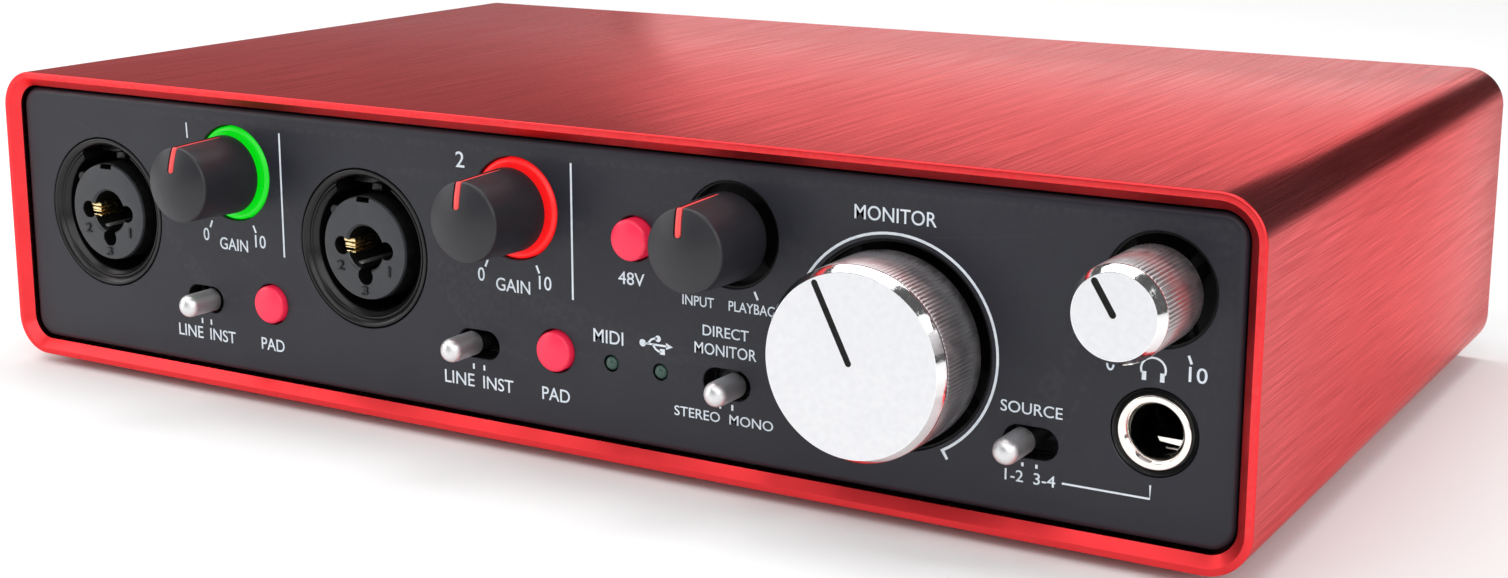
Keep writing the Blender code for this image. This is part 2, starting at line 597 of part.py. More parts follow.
def make_pointer(knob, stem, x, height, face, face_depth):
    """An inlay across the face, over its edge and down the knob's side, in its own groove."""
    shoulder = face - KNOB_EDGE
    start_depth = face_depth + KNOB_CROWN * (POINTER_START / shoulder) ** 2
    shoulder_depth = face_depth + KNOB_CROWN
    inner = height + shoulder - POINTER_DEEP
    floor = shoulder_depth + POINTER_DEEP
    outline = ((height + POINTER_START, start_depth), (height + shoulder, shoulder_depth),
               (height + face, shoulder_depth + KNOB_EDGE), (height + face, POINTER_END),
               (inner, POINTER_END), (inner, floor),
               (height + POINTER_START, start_depth + POINTER_DEEP))
    start = height + POINTER_START - GAP
    far = height + face + 2.0 * MM
    groove = strip(f"{stem}_groove", x, POINTER_HALF + GAP, (
        (start, face_depth - MM), (far, face_depth - MM), (far, POINTER_END + GAP),
        (inner - GAP, POINTER_END + GAP), (inner - GAP, floor + GAP),
        (start, start_depth + POINTER_DEEP + GAP)))
    cut(knob, groove)
    pointer = strip(f"{stem}_pointer", x, POINTER_HALF, outline, BUTTON_RED)
    round_shading(pointer)
    return pointer


def make_halo(name, x, height, finish):
    turned(name, x, height, ((HALO_OUTER, HALO_FRONT), (HALO_OUTER, PANEL_BACK), (HALO_INNER, PANEL_BACK),
                             (HALO_INNER, HALO_FRONT)), finish)


def make_lever(name, slot_x, height, side):
    x = slot_x + side * LEVER_OFFSET
    nose = [(0.0, LEVER_TIP)]
    for angle in (22.5, 45, 67.5, 90):
        turn = math.radians(angle)
        nose.append((LEVER_RADIUS * math.sin(turn), LEVER_TIP + LEVER_RADIUS * (1 - math.cos(turn))))
    lever = turned(name, x, height, (*nose, (LEVER_RADIUS, LEVER_END), (0.0, LEVER_END)), BRIGHT_STEEL, 16)
    ride_on(f"{name}_axis", x, LEVER_TIP, height, [lever])
    width, tall = LEVER_SWITCH
    body = box(f"{name}_switch", (slot_x - width / 2, LEVER_SWITCH_FRONT, height - tall / 2),
               (slot_x + width / 2, POT_BACK, height + tall / 2), ZINC_STEEL)
    cut(body, pocket(f"{name}_pocket", slot_x, height, *LEVER_SLOT, 0.0, LEVER_SWITCH_POCKET))


def make_button(name, x, height, top):
    dome = [(0.0, top)]
    for angle in (30, 60, 90):
        turn = math.radians(angle)
        dome.append((BUTTON_RADIUS * math.sin(turn), top + BUTTON_DOME * (1 - math.cos(turn))))
    flange_front, flange_back = BUTTON_FLANGE
    cap = turned(name, x, height, (*dome, (BUTTON_RADIUS, flange_front), (BUTTON_FLANGE_RADIUS, flange_front),
                                   (BUTTON_FLANGE_RADIUS, flange_back), (0.0, flange_back)), BUTTON_RED, 20)
    ride_on(f"{name}_axis", x, top, height, [cap])
    half = BUTTON_SWITCH_HALF
    box(f"{name}_switch", (x - half, BUTTON_SWITCH_FRONT, height - half), (x + half, POT_BACK, height + half),
        BLACK_PLASTIC)


def make_light_pipe(name, x, height):
    turned(name, x, height, (
        (0.0, LIGHT_TOP), (LIGHT_RADIUS - LIGHT_EDGE, LIGHT_TOP + LIGHT_EDGE / 2),
        (LIGHT_RADIUS, LIGHT_TOP + 2 * LIGHT_EDGE), (LIGHT_RADIUS, POT_BACK), (0.0, POT_BACK)),
           CLEAR_GREEN, 12)


def make_headphone_jack():
    x, height = HEADPHONE_CENTRE
    half = HEADPHONE_BODY_HALF
    body = box("headphone_jack", (x - half, CARRIER_BACK + GAP, height - half),
               (x + half, HEADPHONE_BACK, height + half), BLACK_PLASTIC)
    nose = turned("headphone_nose", x, height, (
        (0.0, HEADPHONE_FRONT), (HEADPHONE_RING, HEADPHONE_FRONT), (HEADPHONE_RING, PANEL_FRONT + GAP),
        (HEADPHONE_NOSE, PANEL_FRONT + GAP), (HEADPHONE_NOSE, NOSE_BACK), (0.0, NOSE_BACK)))
    join(body, nose)
    cut(body, rod("headphone_bore", x, height, JACK_BORE, 0.0, HEADPHONE_BACK - SOCKET_WALL))


def make_rear_panel():
    panel = slab("rear_panel", INNER_HALF, INNER_LOW, INNER_HIGH, REAR_PANEL_FRONT, REAR_PANEL_BACK,
                 INNER_CORNER, BLACK_STEEL)
    span = (REAR_PANEL_FRONT - MM, REAR_PANEL_BACK + MM)
    half_width, half_height = (size / 2 + GAP for size in USB_SIZE)
    usb_height = usb_middle()
    cutters = [box("rear_usb", (USB_X - half_width, span[0], usb_height - half_height),
                   (USB_X + half_width, span[1], usb_height + half_height))]
    for name, x in MIDI_SOCKETS:
        cutters.append(through(f"rear_{name}", x, MIDI_HEIGHT, MIDI_FACE + GAP, *span))
    for index, (x, height) in enumerate(phono_centres()):
        cutters.append(through(f"rear_phono_{index}", x, height, PHONO_COLLAR + GAP, *span, 16))
    for name, x in LINE_SOCKETS:
        cutters.append(through(f"rear_{name}", x, LINE_HEIGHT, LINE_NOSE + GAP, *span))
    for side in (-1, 1):
        cutters.append(through(f"rear_screw_{side}", side * SCREW_X, SCREW_HEIGHT, SCREW_SHANK + GAP,
                               *span, 16))
    x, height, width, tall = LOCK_SLOT
    cutters.append(pocket("rear_lock", x, height, width, tall, *span))
    cut(panel, *cutters)


def usb_middle():
    return MAIN_BOARD_HIGH + GAP + USB_SIZE[1] / 2


def phono_centres():
    half = PHONO_PITCH / 2
    return [(PHONO_X + across, PHONO_HEIGHT + up) for up in (-half, half) for across in (-half, half)]


def make_usb_socket():
    middle = usb_middle()
    half_width, half_height = (size / 2 for size in USB_SIZE)
    shell = box("usb_socket", (USB_X - half_width, USB_FRONT, middle - half_height),
                (USB_X + half_width, USB_BACK, middle + half_height), BRIGHT_STEEL)
    half_width, half_height = (size / 2 for size in USB_MOUTH)
    mouth = box("usb_mouth", (USB_X - half_width, USB_BACK - USB_MOUTH_DEEP, middle - half_height),
                (USB_X + half_width, USB_BACK + MM, middle + half_height))
    cut(shell, mouth)
    half_width, half_height = (size / 2 for size in USB_TONGUE)
    join(shell, box("usb_tongue", (USB_X - half_width, USB_BACK - USB_MOUTH_DEEP - MM, middle - half_height),
                    (USB_X + half_width, USB_BACK - USB_TONGUE_BACK, middle + half_height)))


def make_midi_socket(name, x):
    width, front = MIDI_BODY
    back = REAR_PANEL_FRONT - GAP
    body = box(name, (x - width / 2, front, MAIN_BOARD_HIGH + GAP), (x + width / 2, back, MIDI_TOP),
               BLACK_PLASTIC)
    face = REAR_PANEL_BACK - MIDI_INSET
    join(body, rod(f"{name}_face", x, MIDI_HEIGHT, MIDI_FACE, back - MM, face))
    inner, outer, deep = MIDI_GROOVE
    groove = ((outer, face - deep), (outer, face + MM), (inner, face + MM), (inner, face - deep))
    holes = [turned(f"{name}_groove", x, MIDI_HEIGHT, groove)]
    for index in range(5):
        angle = math.radians(45 * index)
        holes.append(through(f"{name}_pin_{index}", x + MIDI_PIN_CIRCLE * math.cos(angle),
                             MIDI_HEIGHT + MIDI_PIN_CIRCLE * math.sin(angle), MIDI_PIN,
                             face - deep, face + MM, 10))
    cut(body, *holes)


def make_phono_block():
    half = PHONO_BODY_HALF
    back = REAR_PANEL_FRONT - GAP
    block = box("phono_block", (PHONO_X - half, PHONO_BODY_FRONT, PHONO_HEIGHT - half),
                (PHONO_X + half, back, PHONO_HEIGHT + half), BLACK_PLASTIC)
    end = SLEEVE_DEPTH + REAR_REACH
    barrels = []
    bores = []
    for index, (x, height) in enumerate(phono_centres()):
        barrels.append(turned(f"phono_barrel_{index}", x, height, (
            (0.0, back - MM), (PHONO_COLLAR, back - MM), (PHONO_COLLAR, REAR_PANEL_BACK + PHONO_STEP),
            (PHONO_BARREL, REAR_PANEL_BACK + PHONO_STEP), (PHONO_BARREL, end), (0.0, end)), sides=16))
        bores.append(through(f"phono_bore_{index}", x, height, PHONO_BORE,
                             end - PHONO_BORE_DEEP, end + MM, 12))
    join(block, *barrels)
    cut(block, *bores)


def make_line_socket(name, x):
    half = LINE_BODY_HALF
    back = REAR_PANEL_FRONT - GAP
    body = box(name, (x - half, LINE_BODY_FRONT, LINE_HEIGHT - half), (x + half, back, LINE_HEIGHT + half),
               BLACK_PLASTIC)
    nut_front = REAR_PANEL_BACK + GAP
    nose = rod(f"{name}_nose", x, LINE_HEIGHT, LINE_NOSE, back - MM, LINE_NOSE_BACK)
    nut = rod(f"{name}_nut", x, LINE_HEIGHT, LINE_NUT, nut_front, nut_front + LINE_NUT_THICK, sides=6)
    join(body, nose, nut)
    cut(body, rod(f"{name}_bore", x, LINE_HEIGHT, JACK_BORE, LINE_BODY_FRONT + SOCKET_WALL,
                  LINE_NOSE_BACK + MM))


def make_rear_screw(name, x):
    head_front = REAR_PANEL_BACK + GAP
    slope, side_depth, deep = SCREW_DOME
    turned(name, x, SCREW_HEIGHT, (
        (0.0, SCREW_END), (SCREW_SHANK, SCREW_END), (SCREW_SHANK, head_front), (SCREW_HEAD, head_front),
        (SCREW_HEAD, head_front + side_depth), (SCREW_HEAD - slope, head_front + deep),
        (0.0, head_front + deep)), BLACK_STEEL, 20)


make_sleeve()
make_front_panel()
make_carrier()
make_control_board()
make_main_board()
make_tray()
make_feet()
for place, centre in enumerate(COMBO_CENTRES, 1):
    make_combo(place, *centre)
for knob_name, knob_x, knob_height, *sizes, _, rubber in KNOBS:
    make_knob(knob_name, knob_x, knob_height, *sizes, rubber)
make_halo("gain_halo_1", *KNOBS[0][1:3], HALO_GREEN)
make_halo("gain_halo_2", *KNOBS[1][1:3], HALO_RED)
for row in LEVERS:
    make_lever(*row)
for row in BUTTONS:
    make_button(*row)
for row in LIGHTS:
    make_light_pipe(*row)
make_headphone_jack()
make_rear_panel()
make_usb_socket()
for socket_name, socket_x in MIDI_SOCKETS:
    make_midi_socket(socket_name, socket_x)
make_phono_block()
for socket_name, socket_x in LINE_SOCKETS:
    make_line_socket(socket_name, socket_x)
make_rear_screw("rear_screw_left", -SCREW_X)
make_rear_screw("rear_screw_right", SCREW_X)
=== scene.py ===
"""Looks for a desktop audio interface: red sleeve, grey front panel, controls and rear sockets."""
import json
import math

import bmesh
import bpy
from mathutils import Matrix, Vector


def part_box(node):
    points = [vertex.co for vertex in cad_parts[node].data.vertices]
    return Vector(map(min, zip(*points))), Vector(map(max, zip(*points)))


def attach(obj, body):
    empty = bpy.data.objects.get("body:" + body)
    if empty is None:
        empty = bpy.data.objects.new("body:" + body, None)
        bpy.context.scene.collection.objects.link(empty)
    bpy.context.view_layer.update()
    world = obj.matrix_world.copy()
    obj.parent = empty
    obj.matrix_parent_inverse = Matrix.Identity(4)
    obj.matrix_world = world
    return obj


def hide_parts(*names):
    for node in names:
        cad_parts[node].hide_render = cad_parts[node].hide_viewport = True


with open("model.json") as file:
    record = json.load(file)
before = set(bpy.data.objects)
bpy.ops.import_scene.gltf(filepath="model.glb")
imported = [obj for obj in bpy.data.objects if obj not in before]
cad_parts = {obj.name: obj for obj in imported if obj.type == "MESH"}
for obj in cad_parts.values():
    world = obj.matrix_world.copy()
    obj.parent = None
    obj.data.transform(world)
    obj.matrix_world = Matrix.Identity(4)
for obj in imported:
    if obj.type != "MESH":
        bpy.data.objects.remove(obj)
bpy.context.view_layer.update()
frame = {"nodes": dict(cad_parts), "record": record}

MM = 0.001

sleeve_low, sleeve_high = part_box("case_sleeve")
FRONT = sleeve_low.y  # the sleeve's front rim
BASE = sleeve_low.z  # the sleeve's underside
HALF_WIDTH = sleeve_high.x / MM
HEIGHT = (sleeve_high.z - sleeve_low.z) / MM
DEPTH = (sleeve_high.y - sleeve_low.y) / MM
CORNER = 6.0  # radius of the sleeve's corners
WALL = 2.3  # thickness of the sleeve
panel_low, panel_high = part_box("front_panel")
PANEL = (panel_low.y - FRONT) / MM  # depth of the front panel's face
PANEL_HALF_WIDTH = panel_high.x / MM
PANEL_HALF_HEIGHT = (panel_high.z - panel_low.z) / MM / 2
REAR = (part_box("rear_panel")[1].y - FRONT) / MM  # depth of the rear panel's outer face
PANEL_CORNER = 3.4  # radius of both panels' corners
FULL = 2 * math.pi
SHARP = 32.0  # edges that bend by more degrees than this shade sharp


# -------------------- geometry

def spot(node):
    """Across and height of a CAD node's middle, in millimetres from the sleeve's lower middle."""
    low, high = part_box(node)
    return (low.x + high.x) / 2 / MM, ((low.z + high.z) / 2 - BASE) / MM


def depth_of(node, side=0):
    """Depth of a CAD node's front (0) or back (1) behind the rim, in millimetres."""
    return (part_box(node)[side].y - FRONT) / MM


def finished(name, shape, centre=(0.0, 0.0), sharp=SHARP):
    """Make an object of a bmesh in millimetres whose origin is on the rim plane at centre."""
    bmesh.ops.recalc_face_normals(shape, faces=shape.faces)
    bmesh.ops.scale(shape, vec=(MM, MM, MM), verts=shape.verts)
    mesh = bpy.data.meshes.new(name)
    shape.to_mesh(mesh)
    shape.free()
    mesh.shade_smooth()
    mesh.set_sharp_from_angle(angle=math.radians(sharp))
    made = bpy.data.objects.new(name, mesh)
    bpy.context.scene.collection.objects.link(made)
    made.location = (centre[0] * MM, FRONT, BASE + centre[1] * MM)
    return made


def add_lathe(shape, outline, sides=96, ripple=None, centre=(0.0, 0.0)):
    """Turn an outline of (radius, depth) about a front-to-back axis; a radius of 0 closes an end.

    ripple is (count, depth, first, last): V-shaped flutes cut into the outline's points first to last.
    """
    rings = []
    for index, (radius, depth) in enumerate(outline):
        if radius == 0:
            rings.append([shape.verts.new((centre[0], depth, centre[1]))])
            continue
        ring = []
        for step in range(sides):
            angle = FULL * step / sides
            reach = radius
            if ripple and ripple[2] <= index <= ripple[3]:
                reach -= ripple[1] * abs(2 * (ripple[0] * step / sides % 1.0) - 1)
            ring.append(shape.verts.new((centre[0] + reach * math.sin(angle), depth,
                                         centre[1] + reach * math.cos(angle))))
        rings.append(ring)
    pairs = list(zip(rings, rings[1:]))
    if outline[0][0] > 0 and outline[-1][0] > 0:
        pairs.append((rings[-1], rings[0]))
    for here, there in pairs:
        for step in range(sides):
            after = (step + 1) % sides
            if len(here) == 1:
                shape.faces.new((here[0], there[step], there[after]))
            elif len(there) == 1:
                shape.faces.new((here[step], here[after], there[0]))
            else:
                shape.faces.new((here[step], here[after], there[after], there[step]))


def lathe(name, outline, centre, sides=96, ripple=None, sharp=SHARP):
    """A turned piece on its own."""
    shape = bmesh.new()
    add_lathe(shape, outline, sides, ripple)
    return finished(name, shape, centre, sharp)


def behind(start, *points):
    """An outline whose depths are measured from a start."""
    return [(radius, start + further) for radius, further in points]


def add_loft(shape, rings, capped=True):
    """Join rings of (x, depth, height) points into a solid, capped at both ends or closed on itself."""
    made = [[shape.verts.new(point) for point in ring] for ring in rings]
    pairs = list(zip(made, made[1:]))
    if not capped:
        pairs.append((made[-1], made[0]))
    for here, there in pairs:
        for index in range(len(here)):
            after = (index + 1) % len(here)
            shape.faces.new((here[index], here[after], there[after], there[index]))
    if capped:
        shape.faces.new(made[0])
        shape.faces.new(list(reversed(made[-1])))


def loft(name, rings, centre=(0.0, 0.0), capped=True):
    """A lofted piece on its own."""
    shape = bmesh.new()
    add_loft(shape, rings, capped)
    return finished(name, shape, centre)


def rounded(half_width, half_height, radius, steps=12):
    """Outline of a rounded rectangle, counter-clockwise."""
    points = []
    for quarter, (side, up) in enumerate(((1, 1), (-1, 1), (-1, -1), (1, -1))):
        for step in range(steps + 1):
            angle = math.pi / 2 * (quarter + step / steps)
            points.append((side * (half_width - radius) + radius * math.cos(angle),
                           up * (half_height - radius) + radius * math.sin(angle)))
    return points


def at_depth(outline, depth, centre=(0.0, 0.0)):
    """Stand a flat outline up at a depth."""
    return [(centre[0] + x, depth, centre[1] + z) for x, z in outline]


def arc(centre, radius, start, end, steps):
    """Points (radius, depth) of an arc in an outline, angles in degrees from the outward direction."""
    points = []
    for step in range(steps + 1):
        angle = math.radians(start + (end - start) * step / steps)
        points.append((centre[0] + radius * math.cos(angle), centre[1] + radius * math.sin(angle)))
    return points


def add_box(shape, low, high, bevel=0.0):
    """A box between two corners in millimetres (x, depth, height), with softened edges."""
    made = bmesh.ops.create_cube(shape, size=1.0)["verts"]
    size = [b - a for a, b in zip(low, high)]
    bmesh.ops.scale(shape, vec=size, verts=made)
    bmesh.ops.translate(shape, vec=[(a + b) / 2 for a, b in zip(low, high)], verts=made)
    if bevel:
        edges = list({edge for vert in made for edge in vert.link_edges})
        bmesh.ops.bevel(shape, geom=edges, offset=bevel, segments=2, affect="EDGES", profile=0.5)


def carve(body, shape, centre=(0.0, 0.0)):
    """Cut a bmesh out of a piece."""
    cutter = finished("cutter", shape, centre)
    boolean = body.modifiers.new("carve", "BOOLEAN")
    boolean.operation = "DIFFERENCE"
    boolean.solver = "MANIFOLD"
    boolean.object = cutter
    bpy.context.view_layer.update()
    graph = bpy.context.evaluated_depsgraph_get()
    mesh = bpy.data.meshes.new_from_object(body.evaluated_get(graph))
    body.modifiers.clear()
    body.data = mesh
    mesh.shade_smooth()
    mesh.set_sharp_from_angle(angle=math.radians(SHARP))
    bpy.data.objects.remove(cutter)


def paint_recess_shade(piece, depth):
    """Paint the walls and floors that lie deeper than a depth dull black, as painted shade in the
    recesses.
    """
    piece.data.materials.append(DARK_INK_AND_SHADE)
    for polygon in piece.data.polygons:
        if polygon.center.y > depth * MM:
            polygon.material_index = 1


# -------------------- materials

class Surface:
    """A Principled material whose colour, roughness and bump are built up from noise in object space."""

    def __init__(self, name, colour, roughness, metallic=0.0, **settings):
        self.material = bpy.data.materials.new(name)
        self.material.use_nodes = True
        self.tree = self.material.node_tree
        self.shader = self.tree.nodes["Principled BSDF"]
        self.colour = (*colour, 1.0)
        self.roughness = roughness
        self.shader.inputs["Base Color"].default_value = self.colour
        self.shader.inputs["Roughness"].default_value = roughness
        self.shader.inputs["Metallic"].default_value = metallic
        for socket, value in settings.items():
            self.shader.inputs[socket.replace("_", " ")].default_value = value
        self.place = self.node("ShaderNodeTexCoord").outputs["Object"]
        self.normal = None

    def node(self, kind, values=None, **properties):
        """Add a node; values are numbers or sockets to link, keyed by the input's name or index."""
        made = self.tree.nodes.new(kind)
        for name, value in properties.items():
            setattr(made, name, value)
        for socket, value in (values or {}).items():
            if isinstance(value, bpy.types.NodeSocket):
                self.tree.links.new(value, made.inputs[socket])
            else:
                made.inputs[socket].default_value = value
        return made

    def noise(self, size, stretch=(1.0, 1.0, 1.0), detail=3.0):
        """Noise whose spots are about size millimetres, longer along an axis by its stretch."""
        scale = [1.0 / (size * MM * part) for part in stretch]
        mapped = self.node("ShaderNodeMapping", {"Vector": self.place, "Scale": scale}).outputs["Vector"]
        inputs = {"Vector": mapped, "Scale": 1.0, "Detail": detail}
        return self.node("ShaderNodeTexNoise", inputs).outputs["Fac"]

    def spread(self, value, low, high, start=0.3, end=0.7):
        """Map a noise value onto low to high."""
        inputs = {"Value": value, "From Min": start, "From Max": end, "To Min": low, "To Max": high}
        return self.node("ShaderNodeMapRange", inputs).outputs["Result"]

    def recolour(self, factor, colour, blend="MIX"):
        """Mix another colour into the one so far, by a factor."""
        base = self.shader.inputs["Base Color"]
        made = self.node("ShaderNodeMix", data_type="RGBA", blend_type=blend)
        first, second = [socket for socket in made.inputs if socket.type == "RGBA"]
        if base.links:
            self.tree.links.new(base.links[0].from_socket, first)
        else:
            first.default_value = self.colour
        second.default_value = (*colour, 1.0)
        self.tree.links.new(factor, made.inputs["Factor"])
        result = next(socket for socket in made.outputs if socket.type == "RGBA")
        self.tree.links.new(result, base)

    def tint(self, value, amount, other=None):
        """Where value is high, darken the colour by amount, or bring in another colour by amount."""
        if other:
            self.recolour(self.spread(value, 0.0, amount), other)
        else:
            self.recolour(self.spread(value, 0.0, 1.0), [1 - amount] * 3, "MULTIPLY")

    def rough(self, value, amount):
        """Vary the roughness by amount either way."""
        result = self.spread(value, self.roughness - amount, self.roughness + amount)
        self.tree.links.new(result, self.shader.inputs["Roughness"])

    def bump(self, value, height, strength):
        """Raise the surface by height millimetres where value is high."""
        inputs = {"Height": value, "Distance": height * MM, "Strength": strength}
        if self.normal:
            inputs["Normal"] = self.normal
        self.normal = self.node("ShaderNodeBump", inputs).outputs["Normal"]
        self.tree.links.new(self.normal, self.shader.inputs["Normal"])

    def worn(self, colour, amount):
        """Rub the convex edges towards a lighter colour, in patches: partly edge wear, partly a painted
        highlight along the edges.
        """
        pointed = self.node("ShaderNodeNewGeometry").outputs["Pointiness"]
        edge = self.spread(pointed, 0.0, amount, 0.52, 0.6)
        patchy = self.spread(self.noise(0.9), 0.0, 1.0, 0.35, 0.65)
        both = self.node("ShaderNodeMath", {0: edge, 1: patchy}, operation="MULTIPLY")
        self.recolour(both.outputs["Value"], colour)


# lighter red for the convex edges: edge wear and painted highlight
RED_WEAR_AND_HIGHLIGHT = (1.0, 0.30, 0.28)


def red_brushed():
    """Red anodised aluminium, scored lengthwise by brushing."""
    look = Surface("red_brushed", (0.90, 0.265, 0.275), 0.24, 1.0, Anisotropic=0.75,
                   Specular_Tint=(1.0, 0.38, 0.38, 1.0))
    normal = look.node("ShaderNodeNewGeometry").outputs["Normal"]
    across = look.node("ShaderNodeVectorMath", {0: normal, 1: (0.0, 1.0, 0.0)},
                       operation="CROSS_PRODUCT")
    look.tree.links.new(across.outputs["Vector"], look.shader.inputs["Tangent"])
    fine = look.noise(0.15, (1, 130, 1), 2.0)
    broad = look.noise(0.7, (1, 50, 1))
    look.tint(fine, 0.42)
    look.tint(broad, 0.10)
    look.rough(broad, 0.05)
    look.bump(fine, 0.003, 0.4)
    # lighter convex edges: edge wear and painted highlight
    look.worn(RED_WEAR_AND_HIGHLIGHT, 0.08)
    return look.material


def red_rim():
    """The same dye on the rim's cut faces, which are nearly smooth."""
    look = Surface("red_rim", (0.92, 0.050, 0.058), 0.37, 1.0, Specular_Tint=(1.0, 0.7, 0.7, 1.0))
    look.tint(look.noise(6.0), 0.05)
    look.rough(look.noise(2.0), 0.03)
    look.bump(look.noise(0.8), 0.0003, 0.1)
    # lighter convex edges: edge wear and painted highlight
    look.worn(RED_WEAR_AND_HIGHLIGHT, 0.08)
    return look.material


def panel_grey():
    """The front panel's satin dark grey."""
    look = Surface("panel_grey", (0.0160, 0.0170, 0.0255), 0.42, 0.0, Specular_IOR_Level=0.40)
    look.tint(look.noise(9.0), 0.14)
    look.rough(look.noise(3.0), 0.03)
    look.bump(look.noise(0.14, detail=2.0), 0.003, 0.35)
    # lighter convex edges: edge wear and painted highlight
    look.worn((0.05, 0.05, 0.055), 0.3)
    return look.material


def moulded(name, colour, roughness, grain, height, **settings):
    """Moulded plastic or rubber with a fine spark-eroded grain."""
    look = Surface(name, colour, roughness, 0.0, **settings)
    look.tint(look.noise(2.5), 0.10)
    look.rough(look.noise(1.2), 0.025)
    look.bump(look.noise(grain, detail=2.0), height, 0.5)
    # lighter convex edges: edge wear and painted highlight
    look.worn([min(1.0, 0.015 + 1.4 * part) for part in colour], 0.4)
    return look.material


def plain_metal(name, colour, roughness, size, height):
    """Bare or plated metal with a faint unevenness of the given size and height."""
    look = Surface(name, colour, roughness, 1.0)
    lines = look.noise(size, detail=2.0)
    look.tint(look.noise(2.0), 0.08)
    look.rough(lines, 0.07)
    look.bump(lines, height, 0.4)
    # lighter convex edges: edge wear and painted highlight
    look.worn([min(1.0, 0.03 + part) for part in colour], 0.4)
    return look.material


def spun_silver():
    """A face turned on a lathe: fine rings round the knob's own axis."""
    look = Surface("spun_silver", (0.78, 0.785, 0.81), 0.30, 1.0)
    apart = look.node("ShaderNodeSeparateXYZ", {"Vector": look.place})
    flat = look.node("ShaderNodeCombineXYZ", {"X": apart.outputs["X"], "Z": apart.outputs["Z"]})
    radius = look.node("ShaderNodeVectorMath", {0: flat.outputs["Vector"]}, operation="LENGTH")
    inputs = {"W": radius.outputs["Value"], "Scale": 9000.0, "Detail": 2.0}
    ring = look.node("ShaderNodeTexNoise", inputs, noise_dimensions="1D").outputs["Fac"]
    look.tint(ring, 0.012)
    look.rough(ring, 0.01)
    look.bump(ring, 0.0001, 0.05)
    # lighter convex edges: edge wear and painted highlight
    look.worn((0.97, 0.97, 0.98), 0.2)
    return look.material


def glowing(name, colour, light, strength):
    """A light ring lit from behind, a little uneven round its length."""
    look = Surface(name, colour, 0.35, Emission_Color=(*light, 1.0), Emission_Strength=strength)
    look.tint(look.noise(2.2), 0.15)
    look.rough(look.noise(1.0), 0.08)
    look.bump(look.noise(0.5), 0.006, 0.3)
    return look.material


def circuit_board():
    """Green solder mask with paler traces."""
    look = Surface("solder_mask", (0.012, 0.10, 0.045), 0.35)
    cells = look.node("ShaderNodeTexVoronoi", {"Vector": look.place, "Scale": 420.0},
                      feature="DISTANCE_TO_EDGE")
    traces = look.spread(cells.outputs["Distance"], 1.0, 0.0, 0.02, 0.05)
    look.tint(traces, 0.7, (0.05, 0.24, 0.10))
    look.rough(look.noise(1.5), 0.08)
    look.bump(traces, 0.03, 0.4)
    return look.material


RED = red_brushed()
RED_RIM = red_rim()
GREY = panel_grey()
# name, colour, roughness, then the grain's size and height in millimetres
BLACK = moulded("black_plastic", (0.0035, 0.0035, 0.0042), 0.30, 0.3, 0.0015, Specular_IOR_Level=0.4)
CORE = moulded("core_plastic", (0.034, 0.037, 0.043), 0.40, 0.2, 0.004)
RUBBER = moulded("knob_rubber", (0.0168, 0.0168, 0.0215), 0.44, 0.16, 0.006)
FOOT = moulded("foot_rubber", (0.012, 0.012, 0.012), 0.75, 0.4, 0.02)
# red button caps with a faint emission: a painted glow that brightens them
BUTTON = moulded("button_red", (0.92, 0.028, 0.085), 0.36, 0.3, 0.002,
                 Emission_Color=(1.0, 0.01, 0.06, 1.0), Emission_Strength=0.18)
MARK = moulded("mark_red", (0.92, 0.075, 0.075), 0.40, 0.3, 0.002)
INK = moulded("panel_ink", (0.74, 0.82, 0.90), 0.5, 0.2, 0.001)
# dull black: real ink in the silver knobs' lines, and painted shade on recess walls, wells, bores and
# the insert's side
DARK_INK_AND_SHADE = moulded("dark_ink_and_painted_shade", (0.003, 0.003, 0.003), 0.5, 0.2, 0.002, Specular_IOR_Level=0.2)
WHITE_INSERT = moulded("white_insert", (0.75, 0.75, 0.72), 0.35, 0.3, 0.003)
RED_INSERT = moulded("red_insert", (0.60, 0.02, 0.02), 0.35, 0.3, 0.003)
COAT = moulded("black_coat", (0.012, 0.012, 0.013), 0.42, 0.22, 0.010)
LENS = moulded("light_lens", (0.035, 0.085, 0.065), 0.30, 0.6, 0.002)
SPUN = spun_silver()
POLISHED = plain_metal("polished_edge", (0.95, 0.95, 0.96), 0.10, 0.4, 0.0003)
KNURL = plain_metal("knurled_side", (0.55, 0.53, 0.54), 0.39, 1.5, 0.0002)
SATIN = plain_metal("satin_steel", (0.86, 0.86, 0.87), 0.46, 0.4, 0.001)
BRIGHT = plain_metal("bright_ring", (0.97, 0.93, 0.88), 0.13, 0.5, 0.0005)
GOLD = plain_metal("gold_contact", (1.0, 0.80, 0.42), 0.26, 0.5, 0.001)
ZINC = plain_metal("zinc_steel", (0.58, 0.59, 0.60), 0.38, 1.2, 0.003)
GREEN_GLOW = glowing("halo_green", (0.0, 0.22, 0.01), (0.0, 1.0, 0.006), 0.58)
RED_GLOW = glowing("halo_red", (0.45, 0.01, 0.01), (1.0, 0.008, 0.010), 0.72)
BOARD = circuit_board()


def place(piece, material, body="housing", stands_for=()):
    """Give a piece its material and its body, and hide the CAD nodes it stands for."""
    piece.data.materials.clear()
    piece.data.materials.append(material)
    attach(piece, body)
    if stands_for:
        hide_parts(*stands_for)
    return piece


def box_piece(name, centre, material, boxes, stands_for=()):
    """One piece of the housing made of boxes, each given as (low corner, high corner, bevel)."""
    shape = bmesh.new()
    for low, high, bevel in boxes:
        add_box(shape, low, high, bevel)
    place(finished(name, shape, centre), material, stands_for=stands_for)


# -------------------- case

SLEEVE_PARTS = (20, 5)  # faces along each long and each short side of the sleeve's outline


